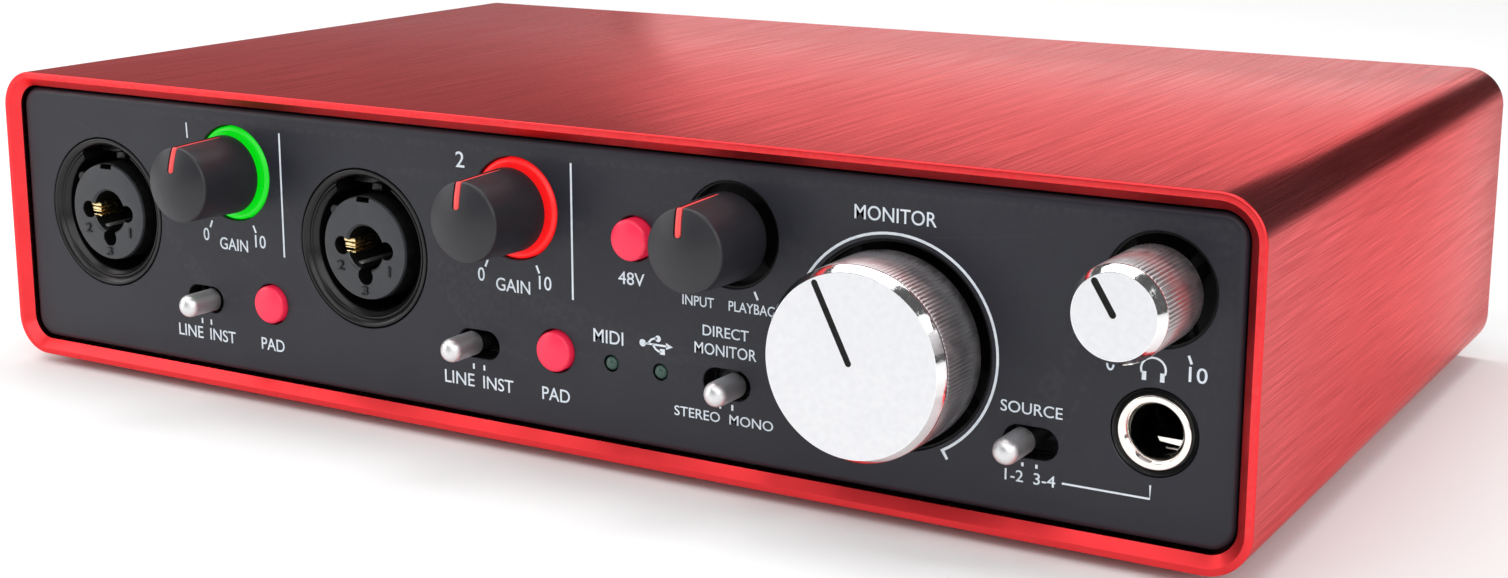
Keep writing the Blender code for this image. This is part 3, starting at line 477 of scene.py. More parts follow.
def sleeve_ring(inset, depth):
    """The sleeve's outline at an inset, its straight sides divided into short faces."""
    corners = rounded(HALF_WIDTH - inset, HEIGHT / 2 - inset, CORNER - inset, 16)
    quarter = len(corners) // 4
    outline = []
    for index, (x, z) in enumerate(corners):
        outline.append((x, z))
        if index % quarter == quarter - 1:
            next_x, next_z = corners[(index + 1) % len(corners)]
            parts = SLEEVE_PARTS[index // quarter % 2]
            for part in range(1, parts):
                outline.append((x + (next_x - x) * part / parts, z + (next_z - z) * part / parts))
    return at_depth(outline, depth, (0.0, HEIGHT / 2))


def make_sleeve():
    """The shell, open at both ends; the narrow faces at its ends get the rim's look."""
    rim = 1.0  # from the outer wall to the flat end face's inner edge
    tiny = 0.10  # chamfer there
    soft = 0.35  # radius of the outer edge
    slope = 1.45  # depth of the slope from the rim to the inner wall
    turns = [math.radians(90 * step / 4) for step in range(5)]
    front = [(rim + tiny, tiny), (rim, 0.0)]
    front += [(soft * (1 - math.sin(turn)), soft * (1 - math.cos(turn))) for turn in turns]
    inner = [(WALL, DEPTH - slope), (WALL, slope)]
    back = [(inset, DEPTH - depth) for inset, depth in reversed(front)]
    rings = [sleeve_ring(*pair) for pair in front + back + inner]
    sleeve = loft("sleeve_shell", rings, capped=False)
    place(sleeve, RED, stands_for=["case_sleeve"])
    sleeve.data.materials.append(RED_RIM)
    near_end = (slope + 0.2) * MM
    for face in sleeve.data.polygons:
        depths = [sleeve.data.vertices[index].co.y for index in face.vertices]
        if max(depths) < near_end or min(depths) > DEPTH * MM - near_end:
            face.material_index = 1


def front_slab(edge, steps=6):
    """The front panel before its holes are cut; its front edge rolls over with radius edge."""
    middle = (0.0, HEIGHT / 2)
    rings = []
    for step in range(steps + 1):
        turn = math.radians(90 * step / steps)
        inset = edge * (1 - math.sin(turn))
        outline = rounded(PANEL_HALF_WIDTH - inset, PANEL_HALF_HEIGHT - inset, PANEL_CORNER - inset)
        rings.append(at_depth(outline, PANEL + edge * (1 - math.cos(turn)), middle))
    outline = rounded(PANEL_HALF_WIDTH, PANEL_HALF_HEIGHT, PANEL_CORNER)
    rings.append(at_depth(outline, depth_of("front_panel", 1), middle))
    return loft("panel_plate", rings)


def add_hole(shape, centre, radius, face, through, flare=0.12, sides=96):
    """A round cutter that leaves a small chamfer at the face it enters."""
    outward = -2.0 if through > face else 2.0
    step = flare if through > face else -flare
    add_lathe(shape, [(0.0, face + outward), (radius + flare, face + outward), (radius + flare, face),
                      (radius, face + step), (radius, through), (0.0, through)], sides, centre=centre)


def add_slot(shape, centre, width, tall, face, through, flare=0.12):
    """A round-ended cutter with the same chamfer."""
    rings = []
    for grow, depth in ((flare, face - 2.0), (flare, face), (0.0, face + flare), (0.0, through)):
        outline = rounded(width / 2 + grow, tall / 2 + grow, tall / 2 + grow - 0.01)
        rings.append(at_depth(outline, depth, centre))
    add_loft(shape, rings)


# radius of each large hole in the front panel
WIDE_HOLES = {"combo_jack_1": 12.1, "combo_jack_2": 12.1, "gain_knob_1": 7.4, "gain_knob_2": 7.4,
              "mix_knob": 7.3, "monitor_knob": 13.9, "headphone_knob": 7.15}
WELL_FLOOR = 4.2  # depth of the black floor round a knob's shaft, painted shade
BUTTON_HOLE = 3.15
LIGHT_HOLE = 1.2
HEADPHONE_HOLE = 5.6
SLOT_SIZE = (7.4, 4.2)
LEVERS = ("line_lever_1", "line_lever_2", "stereo_lever", "source_lever")
BUTTONS = ("pad_button_1", "pad_button_2", "phantom_button")
LIGHTS = ("midi_light_pipe", "usb_light_pipe")


def make_front_panel():
    """The grey plate with all its holes, their deeper walls painted black as shade, and black wells
    behind three of the knobs, painted shade in their recesses.
    """
    panel = front_slab(1.1)
    shape = bmesh.new()
    through = PANEL + 4.0
    for node, radius in WIDE_HOLES.items():
        add_hole(shape, spot(node), radius, PANEL, through, sides=128)
    for node in LEVERS:
        add_slot(shape, spot(f"{node}_switch"), *SLOT_SIZE, PANEL, through)
    for node in BUTTONS:
        add_hole(shape, spot(node), BUTTON_HOLE, PANEL, through)
    for node in LIGHTS:
        add_hole(shape, spot(node), LIGHT_HOLE, PANEL, through, 0.08)
    add_hole(shape, spot("headphone_jack"), HEADPHONE_HOLE, PANEL, through)
    carve(panel, shape)
    place(panel, GREY, stands_for=["front_panel"])
    # hole walls deeper than half a millimetre are painted black: painted shade inside the holes
    paint_recess_shade(panel, PANEL + 0.5)
    # black cups in three knob holes: painted shade in the recesses
    for node in ("mix_knob", "monitor_knob", "headphone_knob"):
        outer = WIDE_HOLES[node] - 0.02
        inner = WIDE_HOLES[node] - 0.3
        front = PANEL + 0.35
        outline = [(outer, front), (outer, WELL_FLOOR), (3.9, WELL_FLOOR), (3.9, WELL_FLOOR - 0.3),
                   (inner, WELL_FLOOR - 0.3), (inner, front)]
        well = lathe(node.replace("knob", "well"), outline, spot(node))
        place(well, DARK_INK_AND_SHADE)


# -------------------- printing on the panel

INK_PROUD = 0.025  # how far the printing stands out of the panel
INK_ROOT = 0.02  # how far it reaches in


def add_letters(shape, text, left, right, low, high, face, proud=INK_PROUD):
    """Raised letters that fill a rectangle on a face, in millimetres."""
    curve = bpy.data.curves.new("letters", "FONT")
    curve.body = text
    curve.extrude = 0.02
    curve.offset = 0.004
    curve.resolution_u = 4
    writing = bpy.data.objects.new("letters", curve)
    bpy.context.scene.collection.objects.link(writing)
    bpy.context.view_layer.update()
    graph = bpy.context.evaluated_depsgraph_get()
    mesh = bpy.data.meshes.new_from_object(writing.evaluated_get(graph))
    bpy.data.objects.remove(writing)
    xs = [vert.co.x for vert in mesh.vertices]
    ys = [vert.co.y for vert in mesh.vertices]
    start, foot = min(xs), min(ys)
    across = (right - left) / (max(xs) - start)
    up = (high - low) / (max(ys) - foot)
    for vert in mesh.vertices:
        x, y, z = vert.co
        depth = face - proud if z > 0 else face + INK_ROOT
        vert.co = (left + (x - start) * across, depth, low + (y - foot) * up)
    shape.from_mesh(mesh)
    bpy.data.meshes.remove(mesh)


def add_stroke(shape, points, width, face, closed=False):
    """A printed line of the given width through points (x, height), with mitred joints."""
    count = len(points)
    left, right = [], []
    for index, (x, z) in enumerate(points):
        before = points[index - 1] if index or closed else points[index]
        after = points[(index + 1) % count] if index < count - 1 or closed else points[index]
        direction = Vector((after[0] - before[0], after[1] - before[1])).normalized()
        normal = Vector((-direction.y, direction.x))
        if 0 < index < count - 1 or closed:
            step = Vector((x - before[0], z - before[1])).normalized()
            normal /= max(0.5, abs(Vector((-step.y, step.x)).dot(normal)))
        left.append((x + normal.x * width / 2, z + normal.y * width / 2))
        right.append((x - normal.x * width / 2, z - normal.y * width / 2))
    front, root = face - INK_PROUD, face + INK_ROOT
    edges = [[shape.verts.new((x, depth, z)) for x, z in side]
             for side, depth in ((left, front), (right, front), (right, root), (left, root))]
    for index in range(count if closed else count - 1):
        after = (index + 1) % count
        for one, other in zip(edges, edges[1:] + edges[:1]):
            shape.faces.new((one[index], other[index], other[after], one[after]))
    if not closed:
        for index in (0, count - 1):
            shape.faces.new([edge[index] for edge in edges])


# text, left, right, low, high: generic words and figures, placed in millimetres on the panel's face
FRONT_WORDS = (
    ("2", -13.45, -11.9, 39.1, 41.4),
    ("GAIN", -60.1, -54.3, 21.9, 23.8), ("0", -63.5, -62.3, 22.9, 24.9),
    ("10", -52.75, -50.6, 22.9, 24.9),
    ("GAIN", -6.75, -0.75, 21.9, 23.8), ("0", -9.95, -8.75, 22.9, 24.9), ("10", 0.8, 2.95, 22.9, 24.9),
    ("LINE", -69.9, -64.7, 6.9, 8.8), ("INST", -63.2, -57.8, 6.9, 8.8), ("PAD", -52.4, -47.7, 6.9, 8.8),
    ("LINE", -16.5, -11.1, 6.9, 8.8), ("INST", -9.5, -4.1, 6.9, 8.8), ("PAD", 1.0, 5.8, 6.9, 8.8),
    ("48V", 14.3, 18.6, 25.4, 27.2), ("INPUT", 24.7, 29.7, 23.8, 25.2),
    ("PLAYBACK", 32.0, 40.3, 23.8, 25.2), ("MIDI", 10.0, 15.0, 16.6, 18.5),
    ("DIRECT", 27.9, 35.1, 19.9, 21.4), ("MONITOR", 26.6, 36.3, 17.3, 18.9),
    ("STEREO", 23.3, 30.6, 8.0, 9.4), ("MONO", 32.1, 38.9, 8.0, 9.4),
    ("MONITOR", 50.8, 62.4, 38.4, 40.3),
    ("SOURCE", 71.7, 80.0, 16.1, 17.6), ("1-2", 72.5, 75.0, 7.2, 8.7), ("3-4", 76.4, 79.3, 7.2, 8.7),
    ("0", 85.4, 86.5, 23.3, 25.2), ("10", 95.8, 98.1, 23.3, 25.2),
)
STROKE = 0.32
SECOND_INPUT = 53.4  # from the first input's scale to the second's
# node, then top and bottom of the two ticks under its slot
LEVER_TICKS = (("line_lever_1", 10.2, 9.35), ("line_lever_2", 10.4, 9.6), ("stereo_lever", 10.8, 10.0),
               ("source_lever", 9.8, 9.3))


def panel_strokes(shape):
    """Ticks, dividers, the arc round the monitor knob, the cable line and the two pictograms."""
    def line(*points, width=STROKE):
        add_stroke(shape, points, width, PANEL)

    line((-66.0, 41.2), (-65.9, 38.8), width=0.26)
    line((-46.9, 41.1), (-46.9, 22.0), width=0.3)
    line((6.6, 41.5), (6.6, 22.1), width=0.3)
    for shift in (0.0, SECOND_INPUT):
        line((-61.5 + shift, 26.2), (-62.0 + shift, 25.1))
        line((-53.0 + shift, 26.3), (-52.5 + shift, 25.2))
    line((27.5, 26.6), (27.0, 25.7))
    line((36.0, 26.9), (36.5, 25.8))
    line((95.7, 26.5), (96.1, 25.5))
    for node, high, low in LEVER_TICKS:
        x = spot(f"{node}_switch")[0]
        for side in (-0.95, 0.95):
            line((x + side, high), (x + side, low))
    scale = sweep(*spot("monitor_knob"), 14.7, 14.7, 150.0, 72)
    (left_x, left_z), (right_x, right_z) = scale[0], scale[-1]
    line((left_x - 0.7, left_z - 1.1), *scale, (right_x + 0.7, right_z - 1.1), width=0.36)
    line((80.2, 7.96), (91.6, 7.96), (91.6, 9.7), width=0.25)
    headphones(shape, 91.4, 24.2)
    plug_sign(shape, 17.7, 23.1, 17.5)


def sweep(x, height, wide, tall, angle, steps):
    """Points of an arc over the top of a spot, running to an angle in degrees on both sides."""
    turns = [math.radians(angle * (2 * step / steps - 1)) for step in range(steps + 1)]
    return [(x + wide * math.sin(turn), height + tall * math.cos(turn)) for turn in turns]


def headphones(shape, x, height):
    """A headband arc and two ear pads."""
    add_stroke(shape, sweep(x, height, 1.55, 1.45, 112, 24), 0.26, PANEL)
    for side in (-1.15, 1.15):
        add_stroke(shape, ((x + side, height - 0.35), (x + side, height - 1.45)), 0.55, PANEL)


def plug_sign(shape, left, right, height):
    """A trident: a stem with a dot at one end, an arrow at the other, and two branches."""
    def line(*points, width=0.28, closed=False):
        add_stroke(shape, [(left + x, height + up) for x, up in points], width, PANEL, closed)

    def dot(x, up, size):
        turns = [FULL * step / 20 for step in range(20)]
        line(*((x + size / 2 * math.cos(turn), up + size / 2 * math.sin(turn)) for turn in turns),
             width=size, closed=True)

    tip = right - left
    dot(0.5, 0.0, 0.52)
    line((0.9, 0.0), (tip - 0.9, 0.0))
    line((1.3, 0.0), (1.9, 0.65), (2.5, 0.9), (2.9, 0.9))
    dot(3.0, 0.9, 0.46)
    line((2.1, 0.0), (2.6, -0.6), (3.1, -0.87), (3.5, -0.87))
    line((3.3, -0.87), (4.1, -0.87), width=0.8)
    arrow = 1.1  # length of the arrowhead, drawn as six ever thinner strokes
    for step in range(6):
        start = tip - arrow + arrow * step / 6
        line((start, 0.0), (start + arrow / 6, 0.0), width=0.95 * (1 - (step + 0.5) / 6))


def make_print():
    """All the front panel's words, figures and lines, as one piece of ink."""
    shape = bmesh.new()
    for word in FRONT_WORDS:
        add_letters(shape, *word, PANEL)
    panel_strokes(shape)
    place(finished("panel_print", shape), INK)


# -------------------- combination inputs

COMBO_WELL = 17.0  # depth of the ring's floor
# radius, half the width, direction and steps of the three arcs round the latch's window
WINDOW_ARCS = ((10.95, 5.1, 1, 12), (9.9, 5.75, -1, 1), (8.5, 5.1, -1, 12))


def make_combo(number):
    """One combination input: its ring with the latch's window, the latch and the insert."""
    jack = f"combo_jack_{number}"
    centre = spot(jack)
    back = depth_of(jack, 1)
    outline = [(11.9, back), (11.9, PANEL + 0.35)] + arc((11.7, PANEL + 0.2), 0.2, 0, -90, 4)
    outline += behind(PANEL, (11.45, 0.03), (11.2, 0.22), (10.95, 0.52), (10.8, 0.75))
    outline += arc((10.6, PANEL + 0.72), 0.16, 10, -170, 6)
    outline += behind(PANEL, (10.3, 0.95), (9.9, 1.2), (9.7, 1.5))
    outline += [(9.7, COMBO_WELL), (4.0, COMBO_WELL), (4.0, back)]
    ring = lathe(f"combo_ring_{number}", outline, centre, 160)
    (top, shoulder, low) = [window_arc(*values) for values in WINDOW_ARCS]
    around = top + [shoulder[0]] + low + [shoulder[1]]
    window = bmesh.new()
    add_loft(window, [at_depth(around, depth) for depth in (-1.0, PANEL + 7.0)])
    carve(ring, window, centre)
    place(ring, BLACK, stands_for=[jack])
    make_latch(number, centre)
    make_core(number, centre)


def window_arc(radius, half_width, order, steps):
    """Points of an arc that spans half_width on both sides of the top."""
    half = order * math.asin(half_width / radius)
    turns = [half * (2 * step / steps - 1) for step in range(steps + 1)]
    return [(radius * math.sin(turn), radius * math.cos(turn)) for turn in turns]


def make_latch(number, centre):
    """The release tab deep in the window over the insert, with a lip and a rib."""
    box_piece(f"combo_latch_{number}", centre, BLACK, (
        ((-5.0, PANEL + 4.4, 9.0), (5.0, PANEL + 6.8, 10.6), 0.25),
        ((-4.0, PANEL + 3.9, 10.0), (4.0, PANEL + 4.6, 10.5), 0.12),
        ((-1.0, PANEL + 3.6, 8.1), (1.0, PANEL + 6.5, 9.3), 0.2)))


PIN_HOLES = ((-4.35, 0.0), (4.05, 0.0), (0.0, -4.2))
# figure, middle across and up, width and height
PIN_FIGURES = (("2", -4.6, -3.0, 1.25, 1.5), ("1", 4.7, -3.0, 0.35, 1.6), ("3", -0.1, -6.45, 1.2, 1.4))
# low edge, high edge and left end of each gilt leaf in the jack bore
CONTACT_LEAVES = ((0.55, 1.1, -4.55), (-0.1, 0.35, -4.3), (-0.42, -0.2, -4.3), (-1.1, -0.8, -4.1))
CORE_END = 16.6  # depth of the insert's back


def make_core(number, centre):
    """The insert: flat face with a jack bore, three pin holes, a notch, raised figures and a key."""
    face = PANEL + 0.3
    outline = behind(face, (7.4, 0.0), (7.66, 0.06), (7.78, 0.3), (7.78, 0.5), (7.6, 0.55))
    outline += [(7.6, CORE_END), (3.4, CORE_END)] + behind(face, (3.4, 0.35), (3.62, 0.12), (3.7, 0.0))
    core = lathe(f"combo_core_{number}", outline, centre, 128)
    holes = bmesh.new()
    for hole in PIN_HOLES:
        add_hole(holes, hole, 1.38, face, 13.0, 0.08, 40)
    carve(core, holes, centre)
    notch = bmesh.new()
    add_box(notch, (-1.2, face - 1.0, 6.95), (1.2, face + 6.0, 9.0))
    carve(core, notch, centre)
    place(core, CORE, stands_for=[f"combo_insert_{number}"])
    # bore, pin hole and notch walls are painted black: painted shade inside the insert
    paint_recess_shade(core, face + 0.42)
    detail = bmesh.new()
    for text, x, up, wide, tall in PIN_FIGURES:
        add_letters(detail, text, x - wide / 2, x + wide / 2, up - tall / 2, up + tall / 2, face, 0.22)
    key = [(0.0, face + 0.02), (0.6, face + 0.04), (0.75, face + 0.2), (0.75, 9.0), (0.0, 9.0)]
    add_lathe(detail, key, 32, centre=(-5.65, 5.25))
    # the raised figures and the key are made black, darker than the insert: painted shade round them
    place(finished(f"combo_figures_{number}", detail, centre), BLACK)
    leaves = [((left, face + 0.75, low), (-2.35, face + 6.0, high), 0.07)
              for low, high, left in CONTACT_LEAVES]
    box_piece(f"combo_contacts_{number}", centre, GOLD, leaves)
    spring = ((-2.5, face + 1.3, -2.85), (-1.5, face + 9.0, -2.45), 0.12)
    box_piece(f"combo_spring_{number}", centre, SATIN, [spring])
    # black disc deep behind the jack bore: painted shade
    floor = [(0.0, 20.0), (4.0, 20.0), (4.0, 21.0), (0.0, 21.0)]
    place(lathe(f"combo_floor_{number}", floor, centre, 32), DARK_INK_AND_SHADE)
    # black tube round the insert's side: painted shade on its side wall
    tube = [(7.62, face + 0.62), (7.86, face + 0.62), (7.86, CORE_END), (7.62, CORE_END)]
    place(lathe(f"combo_tube_{number}", tube, centre), DARK_INK_AND_SHADE)


# -------------------- knobs

CROWN = 1.2  # how far a rubber knob's face falls back to its edge
EDGE = 0.5  # radius of that edge
SHOULDER = 5.2  # radius at which the edge starts


def crowned(face, *radii):
    """Points of a rubber knob's domed face at some radii."""
    return [(radius, face + CROWN * (radius / SHOULDER) ** 2) for radius in radii]


def make_rubber_knob(name, stem, angle):
    """A soft-touch knob: domed face, rolled edge, tapering side, and a groove for its inlay."""
    centre = spot(name)
    face, base = depth_of(name), depth_of(name, 1)
    rim = face + CROWN
    outline = [(0.0, face)] + crowned(face, 1.0, 2.0, 3.0, 3.8, 4.5, 4.95)
    outline += arc((5.18, rim + 0.52), EDGE, -68, -2, 7)
    outline += [(5.74, rim + 1.6), (5.86, rim + 5.0), (6.02, base - 0.8)]
    outline += arc((5.75, base - 0.3), 0.3, 0, 90, 4)
    outline += [(3.2, base), (3.2, face + 3.0), (0.0, face + 3.0)]
    knob = lathe(name.replace("knob", "cap"), outline, centre, 160, sharp=50)
    body = f"{name}_turn"
    carve(knob, turned_about(inlay(face, 0.62, 2.45, 2.45, -0.35), angle), centre)
    place(knob, RUBBER, body, [name])
    bar = turned_about(inlay(face, 0.42, 0.04, -0.09, -0.3), angle)
    mark = finished(f"{stem}_mark", bar, centre, 60)
    place(mark, MARK, body, [f"{stem}_pointer"])


def inlay(face, half_width, proud, proud_side, root):
    """A round-nosed bar along the face, over the edge and down the side.

    It stands out by proud on the face and by proud_side on the side, and reaches in to root.
    """
    rim = face + CROWN
    over = crowned(face, 2.0, 2.25, 3.0, 3.8, 4.5, 4.95) + arc((5.18, rim + 0.52), EDGE, -55, -10, 4)
    path = over + [(5.74, rim + 1.6), (5.84, rim + 4.4), (5.96, -0.6)]
    rings = []
    for index, (radius, depth) in enumerate(path):
        before = path[max(index - 1, 0)]
        after = path[min(index + 1, len(path) - 1)]
        along = Vector((after[0] - before[0], after[1] - before[1])).normalized()
        out = Vector((along.y, -along.x))
        half = half_width * (0.55 if index == 0 else 1.0)
        top = proud if index < len(over) - 1 else proud_side
        section = ((-half, root), (half, root), (half, top - 0.1), (half * 0.6, top), (-half * 0.6, top),
                   (-half, top - 0.1))
        rings.append([(side, depth + out.y * up, radius + out.x * up) for side, up in section])
    shape = bmesh.new()
    add_loft(shape, rings)
    return shape


def turned_about(shape, angle):
    """Turn a bmesh clockwise, as seen from the front, about the piece's own axis."""
    bmesh.ops.rotate(shape, cent=(0.0, 0.0, 0.0), matrix=Matrix.Rotation(math.radians(angle), 3, "Y"),
                     verts=shape.verts)
    return shape


FLUTE_DEPTH = 0.17
BEVEL = 0.8  # width of the diamond-cut edge
BEVEL_DEPTH = 1.3


def make_silver_knob(name, radius, flutes, forward, pointer_angle, pointer):
    """A turned aluminium knob: spun face, diamond-cut bevel, knurled side, engraved line."""
    centre = spot(name)
    face = depth_of(name) - forward
    body = f"{name}_turn"
    stem = name.replace("_knob", "")
    inner = radius - BEVEL
    rim = face + BEVEL_DEPTH
    plate = behind(face, (0.0, 0.0), (inner, 0.0), (inner, 0.9), (0.0, 0.9))
    disc = lathe(f"{stem}_face", plate, centre, 160)
    cut_line(disc, centre, face, pointer_angle, pointer)
    place(disc, SPUN, body, [name])
    bevel = behind(face, (inner, 0.01), (inner + 0.06, 0.02), (radius - 0.42, 0.62))
    bevel += behind(rim, (radius - 0.04, 0.0), (radius, 0.1), (radius, 0.28), (radius - 0.25, 0.32),
                    (radius - 0.25, 0.55), (inner, 0.55))
    place(lathe(f"{stem}_edge", bevel, centre, 160), POLISHED, body)
    start = rim + 0.45
    base = depth_of(name, 1)
    skirt = [(radius - 0.5, start), (radius - 0.05, start), (radius + 0.04, start + 0.12),
             (radius + 0.08, base - 0.6), (radius - 0.05, base - 0.2), (radius - 0.6, base), (3.2, base),
             (3.2, start)]
    grip = lathe(f"{stem}_grip", skirt, centre, flutes * 4, (flutes, FLUTE_DEPTH, 1, 3), sharp=75)
    place(grip, KNURL, body)


def cut_line(disc, centre, face, angle, pointer):
    """Engrave a straight line with round ends into the face, and fill its floor with dark ink."""
    start, end, width = pointer
    bar = rounded(width / 2, (end - start) / 2, width / 2 - 0.001, 8)
    outline = [(x, (start + end) / 2 + z) for x, z in bar]
    groove = bmesh.new()
    add_loft(groove, [at_depth(outline, depth) for depth in (face - 1.0, face + 0.35)])
    carve(disc, turned_about(groove, angle), centre)
    fill = bmesh.new()
    add_loft(fill, [at_depth(outline, depth) for depth in (face + 0.08, face + 0.5)])
    name = disc.name.replace("_face", "")
    filled = finished(f"{name}_line", turned_about(fill, angle), centre)
    place(filled, DARK_INK_AND_SHADE, f"{name}_knob_turn")


def make_halo(number, material):
    """The lit ring round a gain knob."""
    node = f"gain_halo_{number}"
    centre = spot(node)
    front = depth_of(node)
    outline = behind(front, (3.6, 0.2), (5.6, 0.1), (6.3, -0.1))
    outline += arc((6.66, front), 0.2, -120, -10, 6) + [(6.98, front + 0.05), (7.24, front + 0.45)]
    outline += [(7.24, front + 1.4), (3.6, front + 1.4)]
    place(lathe(f"halo_ring_{number}", outline, centre, 128), material, stands_for=[node])


# -------------------- levers, buttons, lights

PIN_END = 2.05  # depth at which a lever's bright pin meets its black stem, which is painted shade from the slot
APRON = 4.6  # depth of the dark plate behind a slot


def make_lever(node):
    """A round-nosed pin on a black stem, painted shade where the slot darkens the lever, and the plate
    behind its slot.
    """
    centre = spot(node)
    tip = depth_of(node)
    radius = 1.75
    turns = [math.radians(9 * step) for step in range(1, 11)]
    outline = [(0.0, tip)]
    outline += [(radius * math.sin(turn), tip + 1.55 * (1 - math.cos(turn))) for turn in turns]
    outline += [(radius, PIN_END - 0.15), (radius - 0.12, PIN_END), (0.0, PIN_END)]
    pin = lathe(node.replace("lever", "pin"), outline, centre, 64)
    place(pin, SATIN, f"{node}_slider", [node])
    # black stem behind the pin: painted shade from the slot
    stem = [(0.0, PIN_END), (1.55, PIN_END), (1.55, 9.9), (0.0, 9.9)]
    holder = lathe(node.replace("lever", "stem"), stem, centre, 48)
    place(holder, BLACK, f"{node}_slider")
    middle = spot(f"{node}_switch")
    shape = bmesh.new()
    add_box(shape, (-5.2, APRON, -3.0), (5.2, APRON + 0.8, 3.0), 0.2)
    apron = finished(f"{node}_apron", shape, middle)
    slot = bmesh.new()
    add_slot(slot, (0.0, 0.0), 7.0, 3.9, APRON, APRON + 2.0)
    carve(apron, slot, middle)
    place(apron, BLACK)


def make_button(node):
    """A slightly domed cap."""
    top = depth_of(node)
    outline = behind(top, (0.0, 0.0), (0.9, 0.03), (1.7, 0.14), (2.2, 0.28))
    outline += arc((2.35, top + 0.86), 0.55, -72, 0, 6)
    outline += [(2.9, top + 1.1), (2.9, 6.9), (0.0, 6.9)]
    cap = lathe(node.replace("button", "cap"), outline, spot(node), 72, sharp=45)
    place(cap, BUTTON, f"{node}_cap", [node])


def make_lens(node):
    """An indicator's clear lens, set in the panel."""
    top = depth_of(node)
    outline = behind(top, (0.0, 0.0), (0.5, 0.08), (0.85, 0.3), (1.0, 0.6)) + [(1.0, 9.0), (0.0, 9.0)]
    lens = lathe(node.replace("light_pipe", "lens"), outline, spot(node), 40)
    place(lens, LENS, stands_for=[node])


# -------------------- headphone socket

def make_headphone_socket():
    """Black bezel, bright ring, a black well painted as the shade inside the socket, and the contact
    seen inside.
    """
    centre = spot("headphone_jack")
    back = depth_of("headphone_jack", 1)
    outline = behind(PANEL, (4.6, 0.8), (4.85, 0.75), (5.2, 0.4), (5.42, 0.12), (5.5, 0.22))
    outline += [(5.5, back), (4.6, back)]
    bezel = lathe("headphone_bezel", outline, centre)
    place(bezel, BLACK, stands_for=["headphone_jack"])
    ring = [(3.32, 2.5), (3.38, 2.35), (3.78, 1.72), (3.88, 1.64), (4.45, 1.6)]
    ring += arc((4.5, 1.78), 0.18, -90, 0, 4)
    ring += [(4.68, 3.0), (4.55, 12.0), (3.5, 12.0), (3.45, 9.0), (3.32, 3.0)]
    place(lathe("headphone_ring", ring, centre, 128), BRIGHT)
    # black cup deep in the socket: painted shade
    inside = [(0.0, 27.0), (4.35, 27.0), (4.35, 12.05), (3.45, 12.05), (3.45, 26.0), (0.0, 26.0)]
    place(lathe("headphone_well", inside, centre, 64), DARK_INK_AND_SHADE)
    contact = bmesh.new()
    leaf = [(-0.8, -1.45), (-0.5, -2.0), (3.0, -2.35), (3.2, -1.5)]
    add_loft(contact, [at_depth(leaf, depth) for depth in (5.2, 15.0)])
    add_box(contact, (0.2, 5.6, -2.95), (2.7, 15.0, -2.75), 0.05)
    place(finished("headphone_contact", contact, centre), BRIGHT)


# -------------------- rear

MIDI_SOCKETS = ("midi_out_socket", "midi_in_socket")
LINE_SOCKETS = ("line_out_left", "line_out_right")
REAR_SCREWS = ("rear_screw_left", "rear_screw_right")
MIDI_HEIGHT = 20.5
MIDI_RADIUS = 7.6
PHONO_APART = 15.0  # between the middles of two phono sockets
PHONO_COLLAR = 4.7  # radius
LINE_NOSE = 5.2  # radius
LOCK_SLOT = (91.0, 12.0)  # across and height of the lock slot
SCREW_START = 116.0  # depth of the screws' hidden ends


def phono_spots():
    """The four phono sockets: lower pair, then upper pair."""
    x, height = spot("phono_block")
    half = PHONO_APART / 2
    return [(x + across, height + up) for up in (-half, half) for across in (-half, half)]


def make_rear_panel():
    """The black plate with a hole for each socket, screw and the lock."""
    front = depth_of("rear_panel")
    rings = []
    for inset, depth in ((0.0, front), (0.0, REAR - 0.25), (0.08, REAR - 0.07), (0.25, REAR)):
        outline = rounded(PANEL_HALF_WIDTH - inset, PANEL_HALF_HEIGHT - inset, PANEL_CORNER - inset)
        rings.append(at_depth(outline, depth, (0.0, HEIGHT / 2)))
    panel = loft("rear_plate", rings)
    cutter = bmesh.new()
    through = front - 1.0
    for node in MIDI_SOCKETS:
        add_hole(cutter, (spot(node)[0], MIDI_HEIGHT), MIDI_RADIUS + 0.3, REAR, through)
    for centre in phono_spots():
        add_hole(cutter, centre, PHONO_COLLAR + 0.2, REAR, through)
    for node in LINE_SOCKETS:
        add_hole(cutter, spot(node), LINE_NOSE + 0.2, REAR, through)
    for node in REAR_SCREWS:
        add_hole(cutter, spot(node), 1.75, REAR, through, sides=48)
    for outline, centre in ((rounded(6.2, 5.7, 0.5, 4), spot("usb_socket")),
                            (rounded(3.5, 1.5, 1.45), LOCK_SLOT)):
        add_loft(cutter, [at_depth(outline, depth, centre) for depth in (through, REAR + 2)])
    carve(panel, cutter)
    place(panel, COAT, stands_for=["rear_panel"])


def usb_outline(grow):
    """The square plug's outline with its two bevelled upper corners."""
    cut = 1.6
    w, h = 4.3 + grow, 3.95 + grow
    return [(w, -h), (w, h - cut), (w - cut, h), (-w + cut, h), (-w, h - cut), (-w, -h)]


def resampled(outline, count):
    """Points spread round an outline, starting from its second one."""
    points = []
    for index in range(count):
        whole, part = divmod(index * len(outline) / count, 1)
        here = outline[(1 + int(whole)) % len(outline)]
        there = outline[(2 + int(whole)) % len(outline)]
        points.append((here[0] + (there[0] - here[0]) * part, here[1] + (there[1] - here[1]) * part))
    return points


